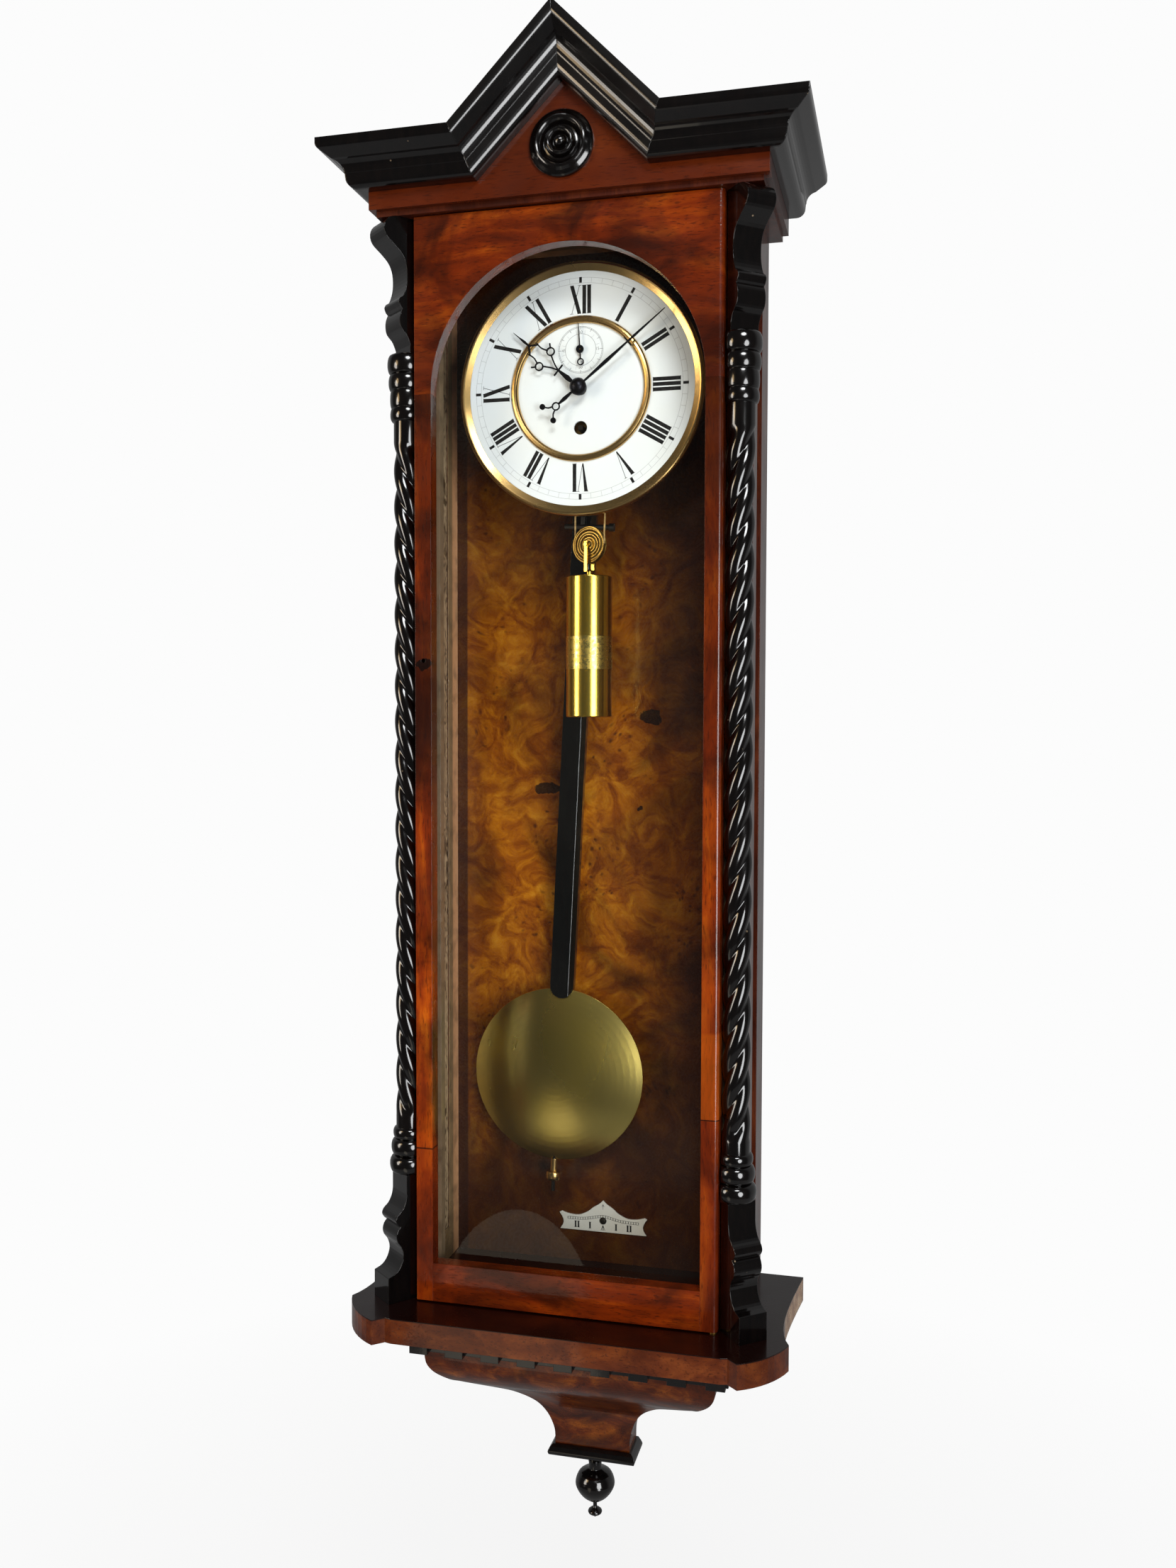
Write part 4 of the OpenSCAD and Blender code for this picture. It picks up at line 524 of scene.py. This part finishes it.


# Side windows, drawn opaque: grey-brown grime and putty on old glass, their pale mottle partly
# painted light from the daylight behind the pane. The outer face is painted shade for the dim case.
def linseedPutty(s):
    material, tree = newMaterial("grimyPuttiedGlass")
    marks = addNode(tree, "TexNoise", {"Vector": placed(tree, (1, 1, 0.6)), "Scale": 135, "Detail": 5,
        "Distortion": 2.5})
    colour = addNode(tree, "ValToRGB", (marks,), s["tones"])
    x = addNode(tree, "SeparateXYZ", (placed(tree),)).outputs["X"]
    x = addNode(tree, "Math", (x,), operation="ABSOLUTE")
    # painted shade: the outer face is dark, standing for the dim case seen through the pane
    outsideShade = addNode(tree, "MapRange", (x, *s["outerFace"], 0, 0.88))
    colour = addNode(tree, "Mix", (outsideShade, colour, linear(s["outsideShade"])), data_type="RGBA")
    rough = addNode(tree, "MapRange", (marks, 0.3, 0.7, 0.35, 0.7))
    surface(tree, {"Base Color": colour, "Roughness": rough, "Coat Weight": 0.4,
        "Coat Roughness": 0.1}, marks, 0.4, 0.0006, 0.0002)
    return material


putty = linseedPutty({
    "tones": [(0.38, "#44341f"), (0.47, "#9a8262"), (0.7, "#c4aa86")],
    "outerFace": (0.1203, 0.121),  # left and right of the middle
    "outsideShade": "#1c1a15",
})


# Catgut: amber, lighter and darker by turns, half dull
def catgut():
    material, tree = newMaterial("catgut")
    tone = addNode(tree, "TexNoise", {"Vector": placed(tree), "Scale": 400})
    colour = addNode(tree, "ValToRGB", (tone,), [(0.3, "#8f6f3a"), (0.7, "#c4a468")])
    surface(tree, {"Base Color": colour, "Roughness": 0.35}, tone, 0.1, 0.0001, 0.00005)
    return material


gut = catgut()
print("finishes made")

dressed = [
    (woods["ebonised"], ["dentil_strip", "drop_block", "drop_finial", "cornice_left",
        "cornice_right", "cornice_returns", "gable_roundel", "upper_corbel_left",
        "upper_corbel_right", "lower_corbel_left", "lower_corbel_right"]),
    (woods["ebonisedRake"], ["gable_rake_left", "gable_rake_right"]),
    (woods["caseWalnut"], ["side_left", "side_right", "corner_post_left", "corner_post_right",
        "roof_board", "frieze_sides"]),
    (woods["burrWalnut"], ["backboard"]),
    (woods["friezeWalnut"], ["frieze"]),
    (woods["plinthWalnut"], ["plinth"]),
    (woods["apronWalnut"], ["base_apron", "base_neck"]),
    (woods["leftStile"], ["door_stile_left"]),
    (woods["rightStile"], ["door_stile_right"]),
    (woods["railWalnut"], ["door_top_rail", "door_bottom_rail"]),
    (doorGlass, ["door_glass"]),
    (putty, ["side_glass"]),
    (enamel, ["chapter_ring", "dial_centre"]),
    (scaleEnamel, ["beat_scale"]),
    (metals["bezel"], ["dial_frame", "rating_nut"]),
    (metals["weight"], ["weight"]),
    (metals["bob"], ["pendulum_bob"]),
    (metals["pulley"], ["weight_pulley"]),
    (metals["fittings"], ["wall_hanger", "door_hinges"]),
    (metals["movement"], ["front_plate", "back_plate", "great_wheel", "centre_wheel",
        "third_wheel", "escape_wheel", "motion_wheel", "hour_wheel"]),
    (metals["hands"], ["minute_hand", "hour_hand", "seconds_hand"]),
    (metals["arbor"], ["barrel"]),
    (metals["steel"], ["pallet_anchor"]),
    (metals["iron"], ["movement_bracket", "door_lock"]),
    (woods["ebonisedRod"], ["pendulum_rod"]),
    (gut, ["gut_line", "line_lead"]),
]
for material, names in dressed:
    for name in names:
        for slot in nodes[name].material_slots:
            slot.material = material
print("parts dressed")


# Puts a surface worked out in millimetres into a mesh. A closed one whose faces point inwards
# is turned over.
def makePiece(name, points, faces, material, body, smooth=True, stands=()):
    mesh = bpy.data.meshes.new(name)
    mesh.from_pydata((points * mm).tolist(), [], faces)
    mesh.materials.append(material)
    mesh.polygons.foreach_set("use_smooth", np.full(len(mesh.polygons), smooth))
    mesh.validate()
    form = bmesh.new()
    form.from_mesh(mesh)
    bmesh.ops.recalc_face_normals(form, faces=form.faces)
    form.to_mesh(mesh)
    form.free()
    if smooth:
        mesh.set_sharp_from_angle(angle=math.radians(50))
    piece = bpy.data.objects.new(name, mesh)
    scene.collection.objects.link(piece)
    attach(piece, body)
    if stands:
        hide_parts(*stands)


# Ink fired on the enamel
def printed(name, points, faces, material):
    makePiece(name, points, faces, material, "case", smooth=False)


# Angles evenly all round a circle
def allRound(n):
    return np.linspace(0, 2 * math.pi, n, endpoint=False)


# Faces of a grid of points, rows by columns, whose columns close into a ring; the two end
# rows are closed with a flat face
def tubeFaces(rows, cols):
    index = np.arange(rows * cols).reshape(rows, cols)
    after = np.roll(index, -1, axis=1)
    quads = np.stack([index[:-1], after[:-1], after[1:], index[1:]], axis=-1).reshape(-1, 4).tolist()
    return quads + [index[0, ::-1].tolist(), index[-1].tolist()]


# Barley-twist columns. Round the axis the radius is a core plus the height of a strand, which
# falls off as a cosine to each groove; the pattern turns one strand's lead with the height.
# Above and below are turned rings: each is half a sine wave over its own length.
column = {
    "axis": (123.4, -102.2),
    "canted": 40,  # degrees, the way the canted face looks
    "radius": 10.1,
    "groove": 3.2,
    "fullness": 0.42,  # power of the squared cosine; half would be the bare cosine
    "hollow": 0.012,  # rounds the bottom of the groove
    "strands": 3,
    "lead": 79,
    "twist": (-691.0, -190.0),
    "foot": -733.4,
    "head": -127.2,
    "runOut": 9,  # length over which a groove rises to nothing
    "doorSide": 114.2,
    "cantSet": 11,
    "around": 72,
    "rows": 640,
    # share of the way from the end of the column to the twist, radius there, swell up to there
    "footRings": [(0, 12.6, 0), (0.3, 10.8, 15), (0.6, 10.6, 13.9), (0.8, 10.1, 12.4)],
    "headRings": [(0.77, 10.1, 0), (0.61, 11.5, 12.6), (0.41, 12, 12.7), (0.22, 12, 13.8),
        (0, 12.4, 14.6)],
}


# Profile of turned rings, as radii and heights: between two of the given places the radius
# eases from one to the other, and swells as half a sine wave
def turnedRings(rings, end, twist, steps=10):
    t = np.linspace(0, math.pi, steps)
    share = (1 - np.cos(t)) / 2
    profile = []
    for (a, lowR, _), (b, highR, swell) in zip(rings, rings[1:]):
        low, high = end + a * (twist - end), end + b * (twist - end)
        base = lowR + (highR - lowR) * share
        profile.append(np.column_stack([base + (swell - base) * np.sin(t),
            low + (high - low) * share]))
    return np.concatenate(profile)


def twistColumn(s, side):
    low, high = s["twist"]
    # the row at the foot stands twice
    lower = turnedRings(s["footRings"], s["foot"], low)
    lower = np.concatenate([lower[:1], lower])
    upper = turnedRings(s["headRings"], s["head"], high)
    shaft = np.linspace(low, high, s["rows"])
    level = np.concatenate([lower[:, 1], shaft, upper[:, 1]])
    ringR = np.concatenate([lower[:, 0], np.full(s["rows"], s["radius"]), upper[:, 0]])
    depth = np.clip(np.minimum(level - low, high - level) / s["runOut"], 0, 1) * s["groove"]
    around = allRound(s["around"])
    turn = 2 * math.pi * (level - low) / s["lead"] + math.radians(s["canted"] - 90)
    phase = (around[None, :] - turn[:, None]) * s["strands"] / 2
    strand = (np.cos(phase) ** 2 + s["hollow"]) ** s["fullness"]
    r = ringR[:, None] - depth[:, None] * (1 - strand / strand.max())
    x = s["axis"][0] + r * np.cos(around)
    y = s["axis"][1] + r * np.sin(around)
    z = np.broadcast_to(level[:, None], x.shape)
    # planed flat beside the door and where it lies on the canted face
    cant = math.radians(s["canted"])
    x = np.maximum(x, np.where(ringR[:, None] > s["radius"] + 0.1, s["doorSide"], 0))
    out = (x - s["axis"][0]) * math.sin(cant) - (y - s["axis"][1]) * math.cos(cant)
    short = np.maximum(-s["cantSet"] - out, 0)
    x, y = x + short * math.sin(cant), y - short * math.cos(cant)
    points = np.stack([side * x, y, z], axis=-1).reshape(-1, 3)
    faces = tubeFaces(len(level), s["around"])
    if side < 0:
        faces = [face[::-1] for face in faces]
    name = "Right" if side > 0 else "Left"
    makePiece("twistColumn" + name, points, faces, woods["ebonisedTwist"], "case",
        stands=("column_right" if side > 0 else "column_left",))


for side in (-1, 1):
    twistColumn(column, side)
print("twist columns turned")


# Flat ink: each four corners in the plane of the dial become a slab that stands a little proud
def inkSlabs(corners, face, thick):
    corners = np.asarray(corners, float)
    n = len(corners)
    flat = corners.reshape(-1, 2)
    back = np.column_stack([flat[:, 0], np.full(4 * n, -face), flat[:, 1]])
    points = np.concatenate([back, back - [0, thick, 0]])
    b = 4 * np.arange(n)[:, None] + np.arange(4)
    f = b + 4 * n
    pairs = ((0, 1), (1, 2), (2, 3), (3, 0))
    sides = [np.stack([b[:, i], b[:, j], f[:, j], f[:, i]], axis=-1) for i, j in pairs]
    return points, np.concatenate([f, b[:, ::-1], *sides]).tolist()


# Flat ring between two radii, closed all round
def inkRing(centre, inner, outer, face, thick, steps=144):
    a = allRound(steps)
    rows = [(inner, 0), (outer, 0), (outer, thick), (inner, thick)]
    points = np.concatenate([np.column_stack([centre[0] + r * np.cos(a), np.full(steps, -face - up),
        centre[1] + r * np.sin(a)]) for r, up in rows])
    index = np.arange(4 * steps).reshape(4, steps)
    after = np.roll(index, -1, axis=1)
    below, beside = np.roll(index, -1, axis=0), np.roll(after, -1, axis=0)
    return points, np.stack([index, below, beside, after], axis=-1).reshape(-1, 4).tolist()


# Points and faces of several meshes as those of one
def joined(parts):
    points = np.concatenate([p for p, _ in parts])
    starts = np.cumsum([0] + [len(p) for p, _ in parts[:-1]])
    faces = [[i + start for i in face] for (_, fs), start in zip(parts, starts.tolist()) for face in fs]
    return points, faces


# A stroke from p to q as four corners, wide to each side of its line by half its width
def stroke(p, q, wide, wideEnd=None):
    p, q = np.asarray(p, float), np.asarray(q, float)
    d = (q - p) / np.linalg.norm(q - p)
    side = np.array([d[1], -d[0]]) / 2
    end = wide if wideEnd is None else wideEnd
    return [p - side * wide, p + side * wide, q + side * end, q - side * end][::-1]


# Roman numerals of the dial, drawn upright and then turned to their hour: feet to the centre
dial = {
    "centre": (0, -150),
    "face": 70.9,
    "ink": 0.05,
    "feet": 54.6,
    "heads": 75.0,
    "thick": 2.75,
    "hair": 0.34,
    "serif": 0.28,
    "serifHalf": 1.7,
    "serifHalfX": 1.4,
    "serifHalfHair": 1.1,
    "pitch": 3.7,  # from one I to the next
    "wideV": 8.6,
    "insetV": (1.6, 0.9),  # how far in its strokes end at the top, left and right
    "pointV": (0.2, 0.9),  # its thick stroke at the foot: to the left by, and how wide
    "wideX": 9.4,
    "insetX": 1.8,
    "track": (76.7, 80.6),
    "trackLine": 0.16,
    "hourMark": (76.9, 81.0, 2.0),  # from, to, stroke
}
numerals = ["XII", "I", "II", "III", "IIII", "V", "VI", "VII", "VIII", "IX", "X", "XI"]


def numeral(s, text):
    width = {"I": s["pitch"], "V": s["wideV"], "X": s["wideX"]}
    x = -sum(width[c] for c in text) / 2
    low, high = s["feet"], s["heads"]
    strokes = []
    for c in text:
        w = width[c]
        if c == "I":
            m = x + w / 2
            strokes += [stroke((m, low), (m, high), s["thick"])]
            ends = [(m, h, s["serifHalf"]) for h in (low, high)]
        elif c == "V":
            foot, left, right = x + w / 2, x + s["insetV"][0], x + w - s["insetV"][1]
            aside, point = s["pointV"]
            strokes += [stroke((foot - aside, low), (left, high), point, s["thick"])]
            strokes += [stroke((foot, low), (right, high), s["hair"])]
            ends = [(left, high, s["serifHalf"]), (right, high, s["serifHalfHair"])]
        else:
            left, right = x + s["insetX"], x + w - s["insetX"]
            strokes += [stroke((right, low), (left, high), s["thick"])]
            strokes += [stroke((left, low), (right, high), s["hair"])]
            ends = [(m, h, s["serifHalfX"]) for m in (left, right) for h in (low, high)]
        strokes += [stroke((m - half, h), (m + half, h), s["serif"]) for m, h, half in ends]
        x += w
    return np.array(strokes)


# Turns corners about the dial centre, clockwise from twelve
def turned(corners, angle, centre):
    a = math.radians(angle)
    x, y = corners[..., 0], corners[..., 1]
    return np.stack([x * math.cos(a) + y * math.sin(a) + centre[0],
        y * math.cos(a) - x * math.sin(a) + centre[1]], axis=-1)


def dialPrint(s):
    black = [turned(numeral(s, text), 30 * i, s["centre"]) for i, text in enumerate(numerals)]
    low, high, wide = s["hourMark"]
    mark = np.array([stroke((0, low), (0, high), wide)])
    black += [turned(mark, 30 * i, s["centre"]) for i in range(12)]
    points, faces = inkSlabs(np.concatenate(black), s["face"], s["ink"])
    printed("dialNumerals", points, faces, blackInk)
    low, high = s["track"]
    half = s["trackLine"] / 2
    mark = np.array([stroke((0, low), (0, high), s["trackLine"])])
    marks = np.concatenate([turned(mark, 6 * i, s["centre"]) for i in range(60)])
    points, faces = joined([inkSlabs(marks, s["face"], s["ink"] / 2),
        inkRing(s["centre"], low - half, low + half, s["face"], s["ink"] / 2),
        inkRing(s["centre"], high - half, high + half, s["face"], s["ink"] / 2)])
    printed("minuteTrack", points, faces, hairInk)


dialPrint(dial)


# Plain figures as a mesh in the plane of the dial, their middle at the given place
def figures(text, size, place, face):
    curve = bpy.data.curves.new("figures", "FONT")
    curve.body = text
    curve.size = size
    curve.align_x, curve.align_y = "CENTER", "CENTER"
    curve.extrude = 0.02
    holder = bpy.data.objects.new("figures", curve)
    scene.collection.objects.link(holder)
    bpy.context.view_layer.update()
    mesh = bpy.data.meshes.new_from_object(holder)
    points = np.zeros(len(mesh.vertices) * 3)
    mesh.vertices.foreach_get("co", points)
    faces = [list(p.vertices) for p in mesh.polygons]
    bpy.data.objects.remove(holder)
    x, y, out = points.reshape(-1, 3).T
    return np.column_stack([x + place[0], -face - out, y + place[1]]), faces


# Seconds ring: fine circles, a tick for each second and a heavy one for each fifth, short
# spokes between the fifths and four figures
seconds = {
    "centre": (0, -121.5),
    "face": 70.3,
    "ink": 0.03,
    "rings": (17.0, 16.2, 11.6),
    "ringHalf": 0.12,
    "tick": (16.2, 17.0, 0.12),  # from, to, stroke
    "fifth": (14.6, 17.0, 0.34),
    "spoke": (11.6, 14.6, 0.12),
    "figure": 3.1,
    "figureR": 12.741,
}


def secondsPrint(s):
    marks = [(6 * i, s["tick"] if i % 5 else s["fifth"]) for i in range(60)]
    marks += [(a, s["spoke"]) for a in range(15, 360, 30)]
    parts = [inkSlabs(turned(np.array([stroke((0, low), (0, high), wide)]), a, s["centre"]),
        s["face"], s["ink"]) for a, (low, high, wide) in marks]
    for r in s["rings"]:
        inner, outer = r - s["ringHalf"], r + s["ringHalf"]
        parts.append(inkRing(s["centre"], inner, outer, s["face"], s["ink"], 96))
    for i, text in enumerate(("60", "15", "30", "45")):
        a = math.radians(90 * i)
        x, z = s["figureR"] * math.sin(a), s["figureR"] * math.cos(a)
        place = (s["centre"][0] + x, s["centre"][1] + z)
        parts.append(figures(text, s["figure"], place, s["face"]))
    points, faces = joined(parts)
    printed("secondsPrint", points, faces, greyInk)


secondsPrint(seconds)


# Beat scale: a row of fine ticks between two lines that rise to the middle as a bell, Roman
# one and two on each side, an arrow under the peak and a small fan under the pin
beat = {
    "foot": (5, -802.5),
    "face": 12.2,
    "ink": 0.04,
    "numeral": (2.2, 7.2, 1.3),  # from, to, stroke
    "apart": 10.7,
    "legs": 1.2,  # of a two, to each side of its middle
    "serif": 0.3,
    "overhang": 1,
    # each stroke from, to, its width and, where it tapers, the width at its end
    "arrow": [((0, 18.4), (0, 22.2), 0.3, 0.2), ((-0.9, 20.4), (0, 22.4), 0.35),
        ((0.9, 20.4), (0, 22.4), 0.35)],
    "fan": [((0, 5.4), (x, 1.3), 0.35) for x in (-1.7, -0.6, 0.6, 1.7)],
    "ticks": 29,
    "tick": 0.45,
    "line": 0.24,
    "reach": 29,
    "row": (8.4, 10.3),
    "rise": (3.2, 11),  # height of the bell, and how far out it has fallen to 0.37 of that
}


def beatPrint(s):
    low, high, wide = s["numeral"]
    strokes = []
    for place in (-2, -1, 1, 2):
        m = place * s["apart"]
        legs = (m,) if abs(place) == 1 else (m - s["legs"], m + s["legs"])
        strokes += [stroke((leg, low), (leg, high), wide) for leg in legs]
        left, right = legs[0] - s["overhang"], legs[-1] + s["overhang"]
        strokes += [stroke((left, h), (right, h), s["serif"]) for h in (low, high)]
    strokes += [stroke(*line) for line in s["arrow"] + s["fan"]]
    x = np.linspace(-s["reach"], s["reach"], s["ticks"])
    bell = s["rise"][0] * np.exp(-((x / s["rise"][1]) ** 2))
    low, high = s["row"]
    strokes += [stroke((a, low + b), (a, high + b), s["tick"]) for a, b in zip(x, bell)]
    for level in s["row"]:
        line = np.column_stack([x, level + bell])
        strokes += [stroke(p, q, s["line"]) for p, q in zip(line, line[1:])]
    corners = np.array(strokes) + s["foot"]
    points, faces = inkSlabs(corners, s["face"], s["ink"])
    printed("beatPrint", points, faces, blackInk)


# Dome of the pin that holds the scale, and a strip of old tape round the weight. The dome's
# radius and height go as the cosine and sine of one angle; the strip is an arc of a ring
# between two radii and two levels.
pin = {
    "place": (5, -12.2, -793.4),
    "radius": 2.9,
    "high": 1.4,
    "angle": 0.48 * math.pi,  # reached at the top, where a small flat is left
    "rows": 9,
    "around": 40,
}
tape = {
    "axis": (4.5, -60),
    "radius": 17.22,
    "thick": 0.12,
    "from": -356,
    "to": -331.5,
    "gap": 50,  # degrees left open to each side of the back
    "steps": 97,
}


def scalePin(s):
    t = np.linspace(0, s["angle"], s["rows"])[:, None]
    a = allRound(s["around"])
    x, y, z = s["place"]
    r = s["radius"] * np.cos(t)
    out = np.broadcast_to(s["high"] * np.sin(t), r.shape[:1] + a.shape)
    points = np.stack([x + r * np.cos(a), y - out, z + r * np.sin(a)], axis=-1).reshape(-1, 3)
    faces = tubeFaces(s["rows"], s["around"])
    makePiece("scalePin", points, faces, metals["arbor"], "case")


def tapeStrip(s):
    n = s["steps"]
    a = np.radians(np.linspace(90 + s["gap"], 450 - s["gap"], n))
    outer = s["radius"] + s["thick"]
    rows = [(s["radius"], s["from"]), (outer, s["from"]), (outer, s["to"]), (s["radius"], s["to"])]
    points = np.concatenate([np.column_stack([s["axis"][0] + r * np.cos(a),
        s["axis"][1] + r * np.sin(a), np.full(n, z)]) for r, z in rows])
    index = np.arange(4 * n).reshape(4, n)
    below = np.roll(index, -1, axis=0)
    sides = np.stack([index[:, :-1], index[:, 1:], below[:, 1:], below[:, :-1]], axis=-1)
    faces = sides.reshape(-1, 4).tolist()
    faces += [index[:, 0].tolist(), index[::-1, -1].tolist()]
    makePiece("tapeStrip", points, faces, metals["tape"], "weight")


# Rolled rim of the bob: a ring, the circle of its section carried round a larger circle
rim = {"centre": (-27.59, -28.5, -672.45), "radius": 67.5, "section": 0.75, "steps": (160, 12)}


def bobRim(s):
    a = allRound(s["steps"][0])[:, None]
    b = allRound(s["steps"][1])
    x, y, z = s["centre"]
    r = s["radius"] + s["section"] * np.cos(b)
    out = np.broadcast_to(s["section"] * np.sin(b), s["steps"])
    points = np.stack([x + r * np.cos(a), y - out, z + r * np.sin(a)], axis=-1).reshape(-1, 3)
    index = np.arange(len(points)).reshape(s["steps"])
    after, beside = np.roll(index, -1, axis=0), np.roll(index, -1, axis=1)
    across = np.roll(after, -1, axis=1)
    faces = np.stack([index, after, across, beside], axis=-1).reshape(-1, 4).tolist()
    makePiece("bobRim", points, faces, metals["weight"], "pendulum")


beatPrint(beat)
scalePin(pin)
bobRim(rim)
tapeStrip(tape)
print("dial printed")

# Softly lit white room: a window on each side, a fanlight, a doorway and a faint light off
# the ground, in a world that is white behind the clock and dim in front of it. The floor
# under it is white too, and only keeps the clock's shadow.
room = {
    "floorZ": -1.3,
    "floorR": 1.1,
    "floorSides": 96,
    "white": "#fcfcfc",
    "floorTone": "#f0f0f0",
    "floorShine": "#1c1c1c",  # the floor as gloss sees it
    "front": 0.17,  # strength of the dim world
    "turning": (-0.1, 0.25),  # Y of the directions where the world is still dim and where it is white
    "mirrored": 0.2,  # how much of the white behind and below shows in gloss
    "frontShine": 0.06,  # what gloss sees of the dim room in front
    "shadow": 0.12,
    "fade": (0.2, 0.98),  # the shadow's end, as a share of the floor's radius
    "aim": (0, 0, -0.5),  # where every lamp points
    "lamps": [  # place, size, watts, colour
        ("windowRight", (1.32, -1.8, -0.6), (0.95, 1.5), 33, "#fdfeff"),
        ("windowLeft", (-1.6, -1.35, -0.3), (0.6, 1.2), 13, "#fff6ea"),
        ("fanlight", (0.75, -1.95, 1.15), (1.0, 0.6), 26, "#fdfeff"),
        ("paleRug", (-0.2, -0.62, -1.12), (0.2, 0.34), 0.1, "#fff2d8"),
        ("doorway", (-1.4, -1.5, 0.14), (0.5, 0.7), 4.5, "#ffd9a0"),
    ],
}


def makeRoom(s):
    scene.view_settings.view_transform = "Standard"
    scene.world = bpy.data.worlds.new("room")
    scene.world.use_nodes = True
    tree = scene.world.node_tree
    tree.nodes.clear()
    ray = addNode(tree, "LightPath").outputs
    way = addNode(tree, "TexCoord").outputs["Generated"]
    depth = addNode(tree, "SeparateXYZ", (way,)).outputs["Y"]
    behind = addNode(tree, "MapRange", (depth, *s["turning"], 0, 1))
    straight = (ray["Is Camera Ray"], ray["Is Transmission Ray"])
    seen = addNode(tree, "Math", straight, operation="MAXIMUM")
    shine = addNode(tree, "Math", (ray["Is Glossy Ray"], behind), operation="MULTIPLY")
    shine = addNode(tree, "Math", (shine, s["mirrored"]), operation="MULTIPLY")
    pale = addNode(tree, "Math", (seen, shine), operation="MAXIMUM")
    front = addNode(tree, "MapRange", (ray["Is Glossy Ray"], 0, 1, s["front"], s["frontShine"]))
    strength = addNode(tree, "MapRange", (pale, 0, 1, front, 1))
    back = addNode(tree, "Background", {"Color": linear(s["white"]), "Strength": strength})
    addNode(tree, "OutputWorld", {"Surface": back})
    for name, place, size, power, colour in s["lamps"]:
        data = bpy.data.lights.new(name, "AREA")
        data.shape = "ELLIPSE"
        data.size, data.size_y = size
        data.energy = power
        data.color = linear(colour)[:3]
        lamp = bpy.data.objects.new(name, data)
        scene.collection.objects.link(lamp)
        turn = (Vector(s["aim"]) - Vector(place)).to_track_quat("-Z", "Y")
        lamp.matrix_world = Matrix.Translation(place) @ turn.to_matrix().to_4x4()


# The floor glows white for the camera, less near its middle, and more faintly in gloss. For
# all other light it is matt.
def makeFloor(s):
    material, tree = newMaterial("paleFloor")
    ray = addNode(tree, "LightPath").outputs
    shine = addNode(tree, "Math", (ray["Is Glossy Ray"], s["mirrored"]), operation="MULTIPLY")
    seen = addNode(tree, "Math", (ray["Is Camera Ray"], shine), operation="MAXIMUM")
    seen = addNode(tree, "Math", (seen, ray["Is Transmission Ray"]), operation="MAXIMUM")
    where = addNode(tree, "TexCoord").outputs["Object"]
    shrink = (1 / s["floorR"], 1 / s["floorR"], 0)
    out = addNode(tree, "VectorMath", (where, shrink), operation="MULTIPLY")
    out = addNode(tree, "VectorMath", (out,), operation="LENGTH")
    glowing = addNode(tree, "MapRange", (out, *s["fade"], 1 - s["shadow"], 1))
    seen = addNode(tree, "Math", (seen, glowing), operation="MULTIPLY")
    tones = (ray["Is Glossy Ray"], linear(s["floorTone"]), linear(s["floorShine"]))
    matt = addNode(tree, "BsdfDiffuse", {"Color": addNode(tree, "Mix", tones, data_type="RGBA")})
    glow = addNode(tree, "Emission", {"Color": linear(s["white"]), "Strength": 1.0})
    addNode(tree, "OutputMaterial", (addNode(tree, "MixShader", (seen, matt, glow)),))
    mesh = bpy.data.meshes.new("floor")
    n = s["floorSides"]
    a = allRound(n)
    x, y = s["floorR"] * np.cos(a), s["floorR"] * np.sin(a)
    mesh.from_pydata(np.column_stack([x, y, np.full(n, s["floorZ"])]).tolist(), [], [tuple(range(n))])
    mesh.materials.append(material)
    floor = bpy.data.objects.new("floor", mesh)
    scene.collection.objects.link(floor)


makeRoom(room)
makeFloor(room)
print("room lit")
